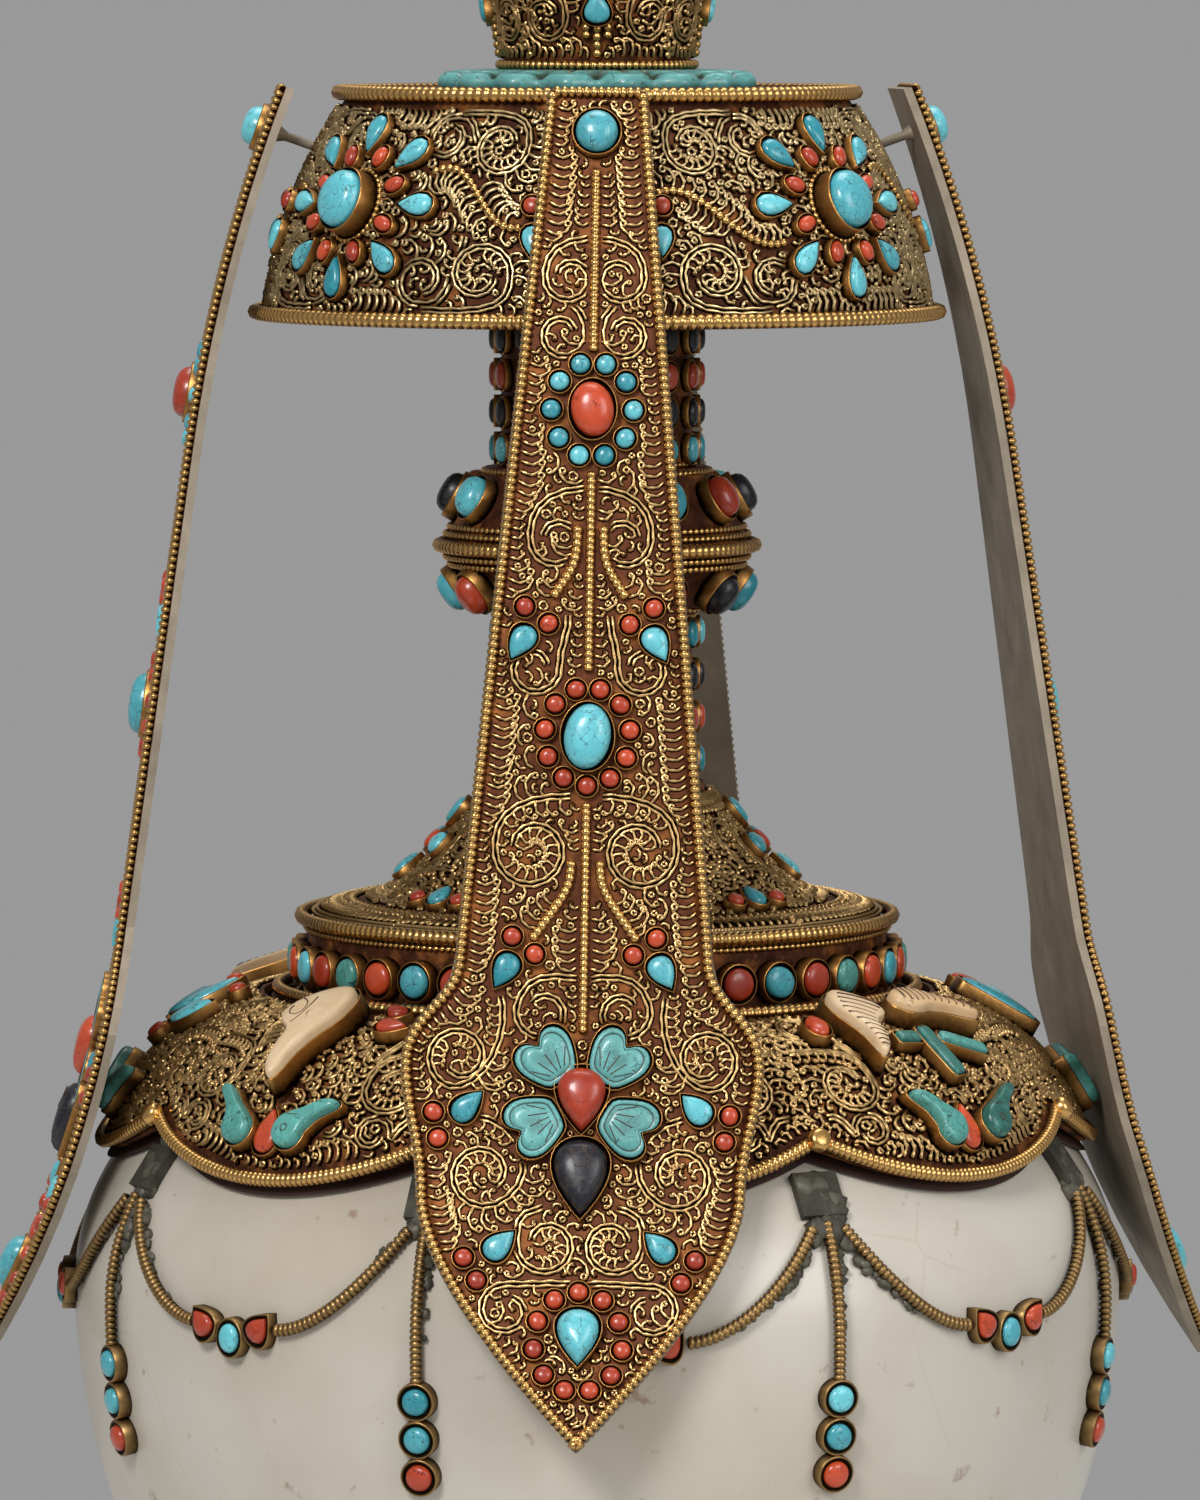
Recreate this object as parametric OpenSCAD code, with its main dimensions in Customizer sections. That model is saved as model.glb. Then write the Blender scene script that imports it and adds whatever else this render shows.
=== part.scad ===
// Ritual water vase: a stone belly in gem-set filigree mounts, a canopy on the neck,
// four hanging straps on pegs and a lift-out stopper. Millimetres, +Z up, front towards -Y,
// origin at the middle of the foot's underside.

/* [Belly] */
// Diameter of the stone belly at its widest
belly_d = 178; // [170:1:184]
// Half-axis of the belly's upper curve
belly_rise = 56; // [53:1:60]
// Half-axis of the belly's lower curve
belly_drop = 101; // [90:1:115]
// Thickness of the stone wall at the side and the floor
belly_wall = 7; // [4:0.5:12]
// Thickness of the stone under its flat top
belly_top_wall = 13; // [9:0.5:16]
// Radius of the stone's flat underside
belly_seat_r = 48; // [42:1:54]
// Radius of the stone's flat top
belly_top_r = 48; // [46:0.5:50]
// Radius of the hole in the stone's flat top
belly_mouth_r = 19; // [16:0.5:24]

/* [Foot] */
// Height of the foot under the stone
foot_h = 32; // [26:1:40]
// Radius of the foot's base band
foot_r = 58; // [54:1:64]
// Height of the foot's base band
foot_band_h = 5; // [4:0.5:8]
// Step between the base band and the bell above it
foot_step = 1.5; // [1:0.1:2.5]
// Radius of the foot's waist
foot_waist_r = 37; // [32:1:42]
// Width of the ring that the foot stands on
foot_ring_w = 4; // [3:0.5:6]
// Levels where the foot's sheet meets its waist, leaves it and turns out, as shares of the foot's height
foot_levels = [0.36, 0.58, 0.78, 0.84];
// Rise of the sheet beside the base band, in steps of the band
foot_rise = 1.2; // [1:0.1:1.5]
// Radius where the foot's upper curve turns out, as a share of its top radius
foot_turn_out = 0.8; // [0.75:0.01:0.85]
// Thickness of the plate that closes the foot
foot_plate_t = 1.2; // [0.8:0.1:2]
// Height of the plate above the table
foot_plate_z = 1.5; // [1:0.1:2.5]

/* [Lower cup] */
// Height of the lower cup where two scallops meet
low_cup_h = 26; // [20:1:32]
// Rise of each scallop above that
low_scallop_h = 7; // [4:0.5:10]

/* [Shoulder cap] */
// Number of lobes round the shoulder cap and the lower cup
lobes = 8; // [6:1:10]
// Turn of the lobes about the vase, in degrees
lobe_turn = 3.5; // [-10:0.5:10]
// Height of the lobe tips above the belly's widest level
lobe_low = 23; // [20:0.5:26]
// Depth of each lobe below the point where two lobes meet
lobe_depth = 7.6; // [5:0.2:10]
// Radius of the cap's rounded section
cap_bulge = 34; // [31:0.5:40]
// Height of the cap's upper edge above the stone's flat top
cap_top_h = 2; // [1.5:0.1:3]
// Thickness of the resin bed between cap and stone
bed_t = 0.9; // [0.6:0.1:1.4]
// Reach of the resin bed below the cap's edge
bed_show = 1.6; // [1:0.1:2.5]

/* [Garland] */
// Width of a solder tab
tab_w = 8; // [7.5:0.5:10]
// Height of a solder tab
tab_h = 8; // [6:0.5:9]
// Thickness of a solder tab
tab_t = 1.4; // [1:0.1:2]
// Height of the tabs' middle above the belly's widest level
tab_z = 22.3; // [20:0.1:22.4]
// Radius of the beaded garland wire
garland_wire = 1.1; // [0.8:0.05:1.2]
// Distance between neighbouring wires at a tab
garland_spread = 2.7; // [2.6:0.05:3]
// Diameter of the garland's stones
garland_gem_d = 4.6; // [4:0.1:5]
// Distance between neighbouring stones of the garland
garland_step = 6.2; // [6:0.1:7]
// Rise of a swag's outer stones above its middle one
swag_curve = 2; // [0:0.2:3]
// Radius of a stud at its foot
stud_r = 2; // [1.5:0.1:2.4]
// Height of a stud
stud_h = 1.6; // [1:0.1:2]
// Depth of the first stone of a drop below the belly's widest level
drop_z = 9.5; // [8:0.5:12]
// Depth of a swag's middle stone below the belly's widest level
swag_z = 1.5; // [0:0.5:3]

/* [Neck] */
// Radius of the neck's bore
neck_bore_r = 13; // [11:0.5:14]
// Height of the collar
collar_h = 13.5; // [12:0.5:16]
// Radius of the collar's wall
collar_r = 49.3; // [48.5:0.1:50.5]
// Reach of the collar's base past the stone's flat top
collar_flange = 7.4; // [7:0.1:8]
// Width of the collar's flat top
collar_ledge = 5; // [3:0.5:8]
// Diameter of the collar's stones
collar_gem_d = 5.2; // [4.5:0.1:5.6]
// Height of the collar's stones above its base
collar_gem_z = 7.3; // [7:0.1:8]
// Number of stones round the collar
collar_stones = 40; // [36:2:40]
// Radius of the dome's edge
dome_r = 49; // [47:0.5:49.5]
// Height of the dome
dome_h = 24.2; // [22:0.2:28]
// Width of the dome's rounded lip
dome_lip_w = 8.5; // [6:0.5:10]
// Height of the dome's rounded lip
dome_lip_h = 3.8; // [3:0.1:5]
// Level of the lip's outer corner, as a share of the lip's height
lip_full = 0.8; // [0.7:0.01:0.9]
// Level of the middle of the lip, as a share of the lip's height
lip_level = 0.85; // [0.8:0.01:0.95]
// Radius of the lip's outer corner, as a share of the dome's radius
lip_corner = 0.98; // [0.96:0.01:0.99]
// Rise of the dome's sweep off the lip before it turns up
dome_lift = 1.6; // [1:0.1:2.5]
// Place where the sweep starts to turn up, as a share of the way in to the neck
dome_reach = 0.4; // [0.3:0.01:0.5]
// Flare of the sweep below the neck
dome_flare = 5.5; // [4:0.1:7]
// Level where the sweep turns into the neck, as a share of the dome's height
dome_bend = 0.66; // [0.6:0.01:0.7]
// Width of the ledge between dome and lower sleeve
dome_ledge = 1.8; // [1:0.1:2.5]
// Reach of a dome flower's petals to the side
dome_flower_u = 6.2; // [6:0.1:7]
// Place of the dome's flowers, as a share of its hollow sweep from the lip
dome_flower_f = 0.56; // [0.5:0.01:0.6]
// Reach of a dome flower's petals up and down, as a share of the sweep
dome_flower_df = 0.2; // [0.18:0.01:0.22]
// Place of the small drops between the flowers, as a share of the sweep
dome_drop_f = 0.16; // [0.14:0.01:0.2]
// Place of the corals beside those drops, as a share of the sweep
dome_coral_f = 0.12; // [0.1:0.01:0.16]
// Distance of those corals from the drop's middle
dome_coral_u = 4.8; // [4.6:0.1:6]
// Diameter of the coral in a flower of four petals
four_coral_d = 4.2; // [3.6:0.1:4.4]
// Width and height of the petals of such a flower
four_petal = [4.4, 5.6];
// Reach of the neck tube into the stone
tube_below = 3; // [2:0.5:6]
// Outer radius of the two neck sleeves
sleeve_r = 16.2; // [16:0.1:17]
// Height of the lower sleeve
low_sleeve_h = 29; // [26:0.5:34]
// Height of the upper sleeve
up_sleeve_h = 25; // [23:0.5:30]
// Stones in one row round a sleeve
sleeve_stones = 16; // [12:1:16]
// Rows of stones on each sleeve
sleeve_rows = 4; // [3:1:4]
// Width of a sleeve's oval stones
sleeve_gem_w = 3.4; // [3:0.1:3.8]
// Height of a sleeve's oval stones
sleeve_gem_h = 4.6; // [4:0.1:4.8]
// Largest radius of the knop
knop_r = 25.5; // [24:0.5:27]
// Height of the knop's lower cone
knop_low_h = 9.4; // [8.5:0.1:11]
// Height of the knop's middle band
knop_band_h = 3.4; // [3:0.1:4]
// Height of the knop's upper cone
knop_up_h = 11.6; // [10:0.2:13]
// Radius of the knop at its two ends
knop_end_r = 18.9; // [18:0.1:20]
// Width of the knop's oval stones
knop_gem_w = 6; // [5.8:0.1:6.6]
// Height of the knop's oval stones
knop_gem_h = 7.6; // [7:0.1:8]
// Stones in one row round the knop
knop_stones = 12; // [9:1:12]

/* [Canopy] */
// Radius of the canopy wall at its lower edge
canopy_low_r = 56.5; // [54:0.5:58]
// Radius of the canopy wall at its upper edge
canopy_top_r = 42.3; // [40:0.5:44]
// Height of the canopy wall
canopy_h = 37.6; // [35:0.5:42]
// Radius of the canopy wall's rounded section
canopy_bulge = 83; // [70:1:110]
// Thickness of the canopy's top plate and floor plate
canopy_plate_t = 1.4; // [1:0.1:2]
// Radius of the beaded wire round the canopy's edges
rim_wire = 1.3; // [1:0.05:1.5]
// Turn of each rosette about the vase, in degrees from the front
rosette_turns = [49, 137, 224, 310];
// Width of a rosette's middle stone
rosette_w = 9.2; // [8:0.1:9.6]
// Height of a rosette's middle stone
rosette_h = 10.2; // [9.8:0.1:10.6]
// Width and height of a rosette's corals
rosette_coral = [2.6, 3.8];
// Half-axes of a rosette's ring of corals
rosette_inner = [9.6, 8.8];
// Width and height of a rosette's outer petals
rosette_petal = [3.8, 7];
// Half-axes of a rosette's ring of petals
rosette_outer = [14.2, 12.4];
// Stones in each ring of a rosette
rosette_stones = 8; // [6:1:8]
// Distance of the small cluster beside a strap from the strap's middle
beside_u = 10.4; // [10:0.1:11]
// Width and height of that cluster's drop
beside_drop = [3.6, 5.4];
// Distance of that drop below the cluster's coral
beside_below = 6; // [5.5:0.1:7]

/* [Mouth] */
// Thickness of the carved petal ring
lotus_t = 3.2; // [2.5:0.1:4]
// Radius over the tips of the carved petals
lotus_r = 27.4; // [25:0.2:30]
// Depth of the notch between two carved petals
lotus_notch = 2.2; // [1:0.1:3]
// Number of carved petals
lotus_petals = 16; // [12:1:20]
// Radius of the mouth cup at its foot
cup_low_r = 15.2; // [15:0.1:16]
// Radius of the mouth cup at its lip
cup_lip_r = 21; // [19:0.5:23]
// Height of the mouth cup
cup_h = 42; // [36:1:48]
// Depth of the stopper's plug
plug_h = 11; // [8:0.5:14]
// Levels of the bud's two middle control points, as shares of its height
bud_levels = [0.45, 0.7];
// Widths of the bud's neck and top, as shares of the flange's radius
bud_widths = [0.5, 0.3];
// Curve of the flame jewel in radii, from its foot to its point
flame_curve = [[0.5, 0], [1.6, 0.5], [0.9, 1.7], [0, 2.6]];
// Height of the stopper above the lip
stopper_h = 24; // [20:1:30]
// Thickness of the stopper's flange
flange_t = 1.6; // [1:0.1:2.5]
// Height of the cup's flowers above its foot
cup_flower_z = 20; // [12:1:28]
// Reach of the petals of the cup's flowers
cup_flower_reach = 6.2; // [6.1:0.1:6.6]
// Radius of the stopper's jewel
jewel_r = 5.2; // [4:0.2:6]

/* [Straps] */
// Turn of each strap about the vase, in degrees from the front
strap_turns = [0, 98, 176, 272];
// How far each strap hangs aside about its peg, in degrees
strap_hang = [-0.9, 0, 0, 0];
// Pull of the outline's curves at their upper and lower ends, as shares of their heights
flare_pull = [0.4, 0.5];
// Pull of the blade's curve from its widest place to its waist, upper and lower share
waist_pull = [0.35, 0.4];
// Pull of the tip's curve, upper and lower share
tip_pull = [0.25, 0.35];
// Half-width towards which the tip's curve is drawn in, as a share of the waist's width
tip_narrow = 0.27; // [0.2:0.01:0.35]
// Height of the strap's top above the canopy's top plate
strap_over = 0.2; // [0:0.1:2]
// Distance of the straight run's upper end below the canopy
strap_under = 21.7; // [18:0.1:26]
// Distance of the straight run's upper end from the canopy's lower rim
strap_gap = 8.6; // [8:0.1:11]
// Distance of the straight run's lower end inside the belly's widest radius
strap_inset = 9.5; // [8.5:0.1:10.5]
// Height of the straight run's lower end above the belly's widest level
strap_bend_z = 59; // [56:0.5:64]
// Extra lean of the strap at its top, in degrees
top_curl = 13; // [9:0.5:15]
// Extra lean of the strap at its tip, in degrees
tip_curl = 22; // [18:0.5:26]
// Length of the curved blade below the straight run
tip_len = 79; // [76:0.5:86]
// Thickness of the strap's sheet
strap_sheet = 1.4; // [1:0.1:2]
// Width of the strap at its top
strap_top_w = 16.2; // [15:0.2:20]
// Width of the strap above the blade
strap_foot_w = 41.8; // [40:0.2:46]
// Largest width of the blade
blade_w = 58.8; // [57:0.2:64]
// Width of the blade at its lower shoulder
blade_waist_w = 53.2; // [52:0.2:56]
// Height of the flare's start above the straight run's lower end
flare_over = 3; // [1:0.5:5]
// Height of the flare above the blade's widest level
flare_h = 17.4; // [15:0.2:20]
// Height of the blade from its widest level to its lower shoulder
blade_h = 20.4; // [18:0.2:23]
// Width of the beaded border
border_w = 1.5; // [1:0.1:2]
// Height of the beaded border
border_h = 1.4; // [1:0.1:2]
// Distance of the peg below the strap's top
peg_drop = 8; // [7:0.2:10]
// Radius of the peg
peg_r = 0.8; // [0.7:0.05:1]
// Radius of the riveted head inside the canopy
peg_head_r = 1.8; // [1.5:0.1:2.2]
// Thickness of the riveted head
peg_head_h = 0.8; // [0.6:0.1:1.2]
// Length of the flared boss between strap and peg
peg_boss_h = 1.5; // [1:0.1:2]

/* [Strap stones] */
// Diameter of the round stone over the peg
crown_d = 7.2; // [6:0.1:8]
// Lengths of the four flowers below the strap's top
flower_t = [54, 107.3, 166.6, 206.4];
// Widths of the four flowers' middle stones
flower_w = [7.2, 8.1, 6.8, 7];
// Heights of the four flowers' middle stones
flower_h = [9.4, 10.7, 10, 9.6];
// Half-axes of the ring of small stones round the first flower
ring_1 = [6.7, 7.8];
// Half-axes of the ring of small stones round the second flower
ring_2 = [7, 8];
// Half-axes of the ring of small stones round the fourth flower
ring_4 = [7.4, 8.4];
// Small stones in the ring round the first flower
ring_1_stones = 10; // [8:1:10]
// Small stones in the rings round the second and fourth flowers
ring_2_stones = 11; // [9:1:11]
// Start of the three rings of round stones, as a share of a step past the top
ring_starts = [0.5, 0.5, 0];
// Distance of the fourth flower's ring below its middle stone
ring_drop = 0.6; // [0:0.1:0.8]
// Width of the leaf below the third flower
leaf_w = 8; // [7:0.1:8.4]
// Height of the leaf below the third flower
leaf_h = 12.6; // [10:0.1:12.8]
// Distance of the leaf below the third flower's middle
leaf_below = 13.2; // [13:0.1:15]
// Width of the third flower's petals
petal_w = 7.6; // [6.5:0.1:8]
// Height of the third flower's petals
petal_h = 9; // [8:0.1:9.2]
// Place of the third flower's upper petals: to the side and above its middle
petal_high = [7.1, 7.8];
// Place of the third flower's lower petals: to the side and below its middle
petal_low = [7.3, 5];
// Turn of the third flower's petals from upright
petal_turn = 45; // [35:1:55]
// Width of the small drops
drop_w = 4.2; // [3.6:0.1:4.4]
// Height of the small drops
drop_h = 6.2; // [5.4:0.1:6.4]
// First pair of clusters: two corals and a drop, to the side and below the straight run's start
pair_1 = [[10.5, 23.3], [6.6, 26], [11.1, 29.2]];
// Second pair, to the side and below the blade's start
pair_2 = [[11.7, -6.4], [8, -3.6], [12.9, -0.8]];
// Third pair, to the side and below the blade's start
pair_3 = [[24, 22.5], [23.2, 26.8], [18.4, 21.3]];
// Fourth pair, to the side and below the blade's start
pair_4 = [[18.7, 46.6], [16.5, 50.4], [12.8, 44.3]];
// Turn of the drops of the first two pairs, point down and out
pair_down = -151; // [-160:1:-140]
// Turn of the drops of the last two pairs, point up and in
pair_up = 46; // [35:1:55]

/* [Settings] */
// Thickness of a setting's rim
lip = 0.4; // [0.3:0.05:0.5]
// Height of a small setting
small_bezel_h = 1.2; // [1:0.1:1.6]
// Height of a large setting
large_bezel_h = 2.4; // [2:0.1:3.2]
// Rise of a small stone above its setting
small_rise = 0.9; // [0.6:0.1:1.2]
// Rise of a large stone above its setting
large_rise = 2.4; // [1.6:0.1:3]
// Width from which a stone counts as large
large_from = 5.8; // [5:0.1:6.5]
// Floor of a setting under its stone
bezel_floor = 0.4; // [0.3:0.05:0.6]
// Radius of the small round corals
coral_r = 1.5; // [1.2:0.05:1.6]
// Radius of the small round turquoises
bead_r = 1.6; // [1.3:0.05:1.7]
// Thickness of the gilt sheet
sheet = 1.2; // [0.8:0.1:1.6]
// Radius of the beaded wire round dome, collar, knop and lobes
fine_wire = 1.2; // [0.9:0.05:1.3]

/* [Clearances] */
// Gap between a stone and its setting
stone_fit = 0.05; // [0.03:0.01:0.1]
// Gap under a soldered setting or wire
seat = 0.12; // [0.1:0.01:0.2]
// Extra gap under a flat setting on the hollow side of the dome
hollow_lift = 0.3; // [0.25:0.01:0.4]
// Gap between nested sheets
nest = 0.1; // [0.05:0.01:0.2]
// Radial running gap of a strap's peg
peg_fit = 0.05; // [0.03:0.01:0.08]
// Gap between the riveted head and the canopy wall, along the peg
peg_head_gap = 0.6; // [0.5:0.05:0.9]
// Gap between the canopy's floor plate and its wall
floor_gap = 0.45; // [0.4:0.05:0.6]
// Gap between the stopper and the mouth cup
plug_fit = 0.35; // [0.3:0.05:0.6]
// Gap between the stopper's flange and the lip
stopper_lift = 0.1; // [0.05:0.01:0.2]

/* [Hidden] */
$fn = 48;
STRAPS = ["front_strap", "right_strap", "back_strap", "left_strap"];

GILT = "goldenrod";
STONE = "whitesmoke";
TURQUOISE = "mediumturquoise";
CORAL = "tomato";
LAPIS = "midnightblue";
SHELL = "wheat";
SOLDER = "dimgray";
RESIN = "saddlebrown";

// Straight steps in one bend of a curve, and wire rings along one lobe
bends = 10;
lobe_rings = 10;
// Overrun of a cutting body past what it cuts
over = 1;

// Point at share f of a curve with four control points
function curve(p, f) = pow(1 - f, 3) * p[0] + 3 * f * pow(1 - f, 2) * p[1]
    + 3 * f * f * (1 - f) * p[2] + pow(f, 3) * p[3];
// Points of that curve after its first one
function curve_rest(p, n) = [for (i = [1 : n]) curve(p, i / n)];
// Direction of that curve at share f
function curve_way(p, f) = 3 * pow(1 - f, 2) * (p[1] - p[0]) + 6 * f * (1 - f) * (p[2] - p[1])
    + 3 * f * f * (p[3] - p[2]);
// Every control point of a curve moved by d
function moved(p, d) = [for (q = p) q + d];
// Middle of the circle of radius r through a and b that lies to the right of the way from a to b
function arc_middle(a, b, r) = let (d = b - a, half = norm(d) / 2)
    (a + b) / 2 + sqrt(r * r - half * half) * [d[1], -d[0]] / norm(d);
function turn_of(v) = atan2(v[1], v[0]);
function arc_points(m, r, a0, a1, n) = [for (i = [0 : n]) let (a = a0 + (a1 - a0) * i / n)
    m + r * [cos(a), sin(a)]];
function rest(p) = [for (i = [1 : len(p) - 1]) p[i]];
function reversed(p) = [for (i = [len(p) - 1 : -1 : 0]) p[i]];
function unit(v) = v / norm(v);
// A closed counter-clockwise outline moved inwards by d with mitred corners
function inset(p, d) = [for (i = [0 : len(p) - 1])
    let (a = unit(p[i] - p[(i + len(p) - 1) % len(p)]),
         b = unit(p[(i + 1) % len(p)] - p[i]),
         na = [-a[1], a[0]],
         nb = [-b[1], b[0]])
    p[i] + d * (na + nb) / (1 + na * nb)];
// Degrees that a length takes up round a radius
function degrees_of(u, r) = u / r * 180 / PI;

// Levels of the vase, upwards from the table
belly_r = belly_d / 2;
z_wide = foot_h + belly_drop * sqrt(1 - pow(belly_seat_r / belly_r, 2));
z_collar = z_wide + belly_rise * sqrt(1 - pow(belly_top_r / belly_r, 2));
z_dome = z_collar + collar_h;
z_neck = z_dome + dome_h;
z_knop = z_neck + low_sleeve_h;
z_band = z_knop + knop_low_h;
z_cone = z_band + knop_band_h;
z_upper = z_cone + knop_up_h;
z_canopy = z_upper + up_sleeve_h;
z_plate = z_canopy + canopy_h;
z_mouth = z_plate + canopy_plate_t;
z_lip = z_mouth + cup_h;
tube_r = neck_bore_r + sheet;
sleeve_bore_r = tube_r + nest;

// Half-axis, radius and outward tilt of the stone's surface at a level
function stone_half(z) = z > z_wide ? belly_rise : belly_drop;
function stone_r(z) = belly_r * sqrt(1 - pow((z - z_wide) / stone_half(z), 2));
function stone_tilt(z) = atan2((z - z_wide) / pow(stone_half(z), 2), stone_r(z) / pow(belly_r, 2));
// The stone's outline from one level to another, pushed out by d
function stone_skin(z0, z1, d, n) = [for (i = [0 : n])
    let (z = z0 + (z1 - z0) * i / n, a = stone_tilt(z))
    [stone_r(z), z] + d * [cos(a), sin(a)]];

// Rounded section of the shoulder cap, from its lobe tips to its upper edge
lobe_step = 360 / lobes;
z_lobe = z_wide + lobe_low;
z_meet = z_lobe + lobe_depth;
collar_flange_r = belly_top_r + collar_flange;
cap_edge = stone_skin(z_lobe, z_lobe + over, bed_t + nest + seat + sheet, 1)[0];
cap_top = [collar_flange_r + seat + sheet, z_collar + cap_top_h];
cap_mid = arc_middle(cap_top, cap_edge, cap_bulge);
cap_a0 = turn_of(cap_edge - cap_mid);
cap_a1 = turn_of(cap_top - cap_mid);
function cap_r(z) = cap_mid[0] + sqrt(pow(cap_bulge, 2) - pow(z - cap_mid[1], 2));
// A scallop is an arc that spans one lobe and is as deep as the lobe
function scallop_r(r, depth) = let (half = r * sin(lobe_step / 2))
    (half * half + depth * depth) / (2 * depth);
cap_scallop = scallop_r(cap_edge[0], lobe_depth);
// Level of a lobe's edge at x to the side of its middle
function lobe_edge(x) = z_lobe + cap_scallop - sqrt(pow(cap_scallop, 2) - x * x);

// Lower cup round the foot of the stone
z_low_meet = foot_h + low_cup_h;
z_low_tip = z_low_meet + low_scallop_h;
cup_inner = nest + seat;
low_edge_r = stone_r(z_low_meet) + cup_inner + sheet;
low_scallop = scallop_r(low_edge_r, low_scallop_h);
function low_lobe_edge(x) = z_low_tip - low_scallop + sqrt(pow(low_scallop, 2) - x * x);
foot_top_r = belly_seat_r + cup_inner + 2 * sheet;

// Rounded section of the canopy wall
canopy_low = [canopy_low_r, z_canopy];
canopy_high = [canopy_top_r, z_plate];
canopy_mid = arc_middle(canopy_high, canopy_low, canopy_bulge);
canopy_a0 = turn_of(canopy_low - canopy_mid);
canopy_a1 = turn_of(canopy_high - canopy_mid);

// Two curves of the neck dome: the lip at its edge and the hollow sweep up to the neck
dome_neck_r = sleeve_r + dome_ledge;
dome_lip = [[dome_r, z_dome], [dome_r * lip_corner, z_dome + dome_lip_h * lip_full],
    [dome_r - dome_lip_w / 2, z_dome + dome_lip_h * lip_level], [dome_r - dome_lip_w, z_dome + dome_lip_h]];
dome_sweep = [dome_lip[3],
    [dome_lip[3][0] * (1 - dome_reach) + dome_neck_r * dome_reach, z_dome + dome_lip_h + dome_lift],
    [dome_neck_r + dome_flare, z_dome + dome_h * dome_bend], [dome_neck_r, z_neck]];

// Middle line of a strap: a curved top, a straight run and a curved blade
run_top = [canopy_low_r + 2 * rim_wire + strap_gap, z_canopy - strap_under];
run_end = [belly_r - strap_inset, z_wide + strap_bend_z];
run_len = norm(run_end - run_top);
strap_lean = atan2(run_end[0] - run_top[0], run_top[1] - run_end[1]);
top_len = (z_mouth + strap_over - run_top[1]) / cos(strap_lean + top_curl / 2);
blade_t = top_len + run_len;
strap_len = blade_t + tip_len;
top_radius = top_len / (top_curl * PI / 180);
tip_radius = tip_len / (tip_curl * PI / 180);
// Lean from upright, then radius and level, at a length t below the strap's top
function lean_at(t) = t < top_len ? strap_lean + top_curl * (1 - t / top_len)
    : t < blade_t ? strap_lean : strap_lean + tip_curl * (t - blade_t) / tip_len;
function strap_at(t) = let (a = lean_at(t))
    t < top_len ? run_top + top_radius * [cos(a) - cos(strap_lean), sin(a) - sin(strap_lean)]
    : t < blade_t ? run_top + (run_end - run_top) * (t - top_len) / run_len
    : run_end + tip_radius * [cos(strap_lean) - cos(a), sin(strap_lean) - sin(a)];
// Lengths at which the middle line is bent
strap_stops = concat([for (i = [0 : bends]) top_len * i / bends],
    [for (i = [0 : bends]) blade_t + tip_len * i / bends]);
// The middle line pushed outwards by d, as points of radius and level
function strap_line(d) = [for (t = strap_stops) strap_at(t) + d * [cos(lean_at(t)), sin(lean_at(t))]];

// Front outline of a strap: half-widths against level
z_strap = strap_at(0)[1];
z_tip = strap_at(strap_len)[1];
z_flare = run_end[1] + flare_over;
z_blade = z_flare - flare_h;
z_waist = z_blade - blade_h;
flare_curve = [[strap_foot_w / 2, z_flare], [strap_foot_w / 2, z_flare - flare_h * flare_pull[0]],
    [blade_w / 2, z_blade + flare_h * flare_pull[1]], [blade_w / 2, z_blade]];
waist_curve = [flare_curve[3], [blade_w / 2, z_blade - blade_h * waist_pull[0]],
    [blade_waist_w / 2, z_waist + blade_h * waist_pull[1]], [blade_waist_w / 2, z_waist]];
tip_curve = [waist_curve[3], [blade_waist_w / 2, z_waist - (z_waist - z_tip) * tip_pull[0]],
    [blade_waist_w * tip_narrow, z_tip + (z_waist - z_tip) * tip_pull[1]], [0, z_tip]];
strap_side = concat([[strap_top_w / 2, z_strap], flare_curve[0]], curve_rest(flare_curve, bends / 2),
    curve_rest(waist_curve, bends / 2), curve_rest(tip_curve, bends));
strap_outline = concat(reversed(strap_side),
    [for (i = [0 : len(strap_side) - 2]) [-strap_side[i][0], strap_side[i][1]]]);

// Peg of a strap: where it starts, its lean, and its reach to a circle about the canopy section's middle
peg_at = strap_at(peg_drop);
peg_lean = lean_at(peg_drop);
peg_way = [cos(peg_lean), sin(peg_lean)];
function peg_reach(r) = let (q = peg_at - canopy_mid, along = q * peg_way)
    along - sqrt(along * along - q * q + r * r);
peg_head_at = peg_reach(canopy_bulge - sheet) + peg_head_gap;

// A seat is [turn about the vase, radius, level, tilt of the surface upwards, shift to the right]
function strap_seat(turn, u, t) = let (p = strap_at(t), a = lean_at(t), d = strap_sheet / 2 + seat)
    [turn, p[0] + d * cos(a), p[1] + d * sin(a), a, u];
function arc_seat(mid, r, a, turn, u) = [turn + degrees_of(u, mid[0] + r * cos(a)),
    mid[0] + (r + seat) * cos(a), mid[1] + (r + seat) * sin(a), a, 0];
// On the shoulder cap, v above the lobe tips; on the canopy wall, v above its middle
function cap_seat(turn, u, v) = arc_seat(cap_mid, cap_bulge, cap_a0 + degrees_of(v, cap_bulge), turn, u);
function canopy_seat(turn, u, v) = arc_seat(canopy_mid, canopy_bulge,
    (canopy_a0 + canopy_a1) / 2 + degrees_of(v, canopy_bulge), turn, u);
// On the dome's sweep, at share f of its curve; the hollow curve lifts a flat setting a little
function dome_seat(turn, u, f) = let (p = curve(dome_sweep, f), w = curve_way(dome_sweep, f),
    a = atan2(-w[0], w[1]), d = seat + hollow_lift)
    [turn + degrees_of(u, p[0]), p[0] + d * cos(a), p[1] + d * sin(a), a, 0];
cup_slope = (cup_lip_r - cup_low_r) / cup_h;
function cup_seat(turn, u, z) = let (r = cup_low_r + cup_slope * (z - z_mouth))
    [turn + degrees_of(u, r), r + seat, z, -atan(cup_slope), 0];
function drum_seat(turn, r, z, tilt) = [turn, r + seat * cos(tilt), z + seat * sin(tilt), tilt, 0];
function stone_seat(turn, u, z) = let (a = stone_tilt(z), r = stone_r(z))
    [turn + degrees_of(u, r), r + seat * cos(a), z + seat * sin(a), a, 0];

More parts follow.
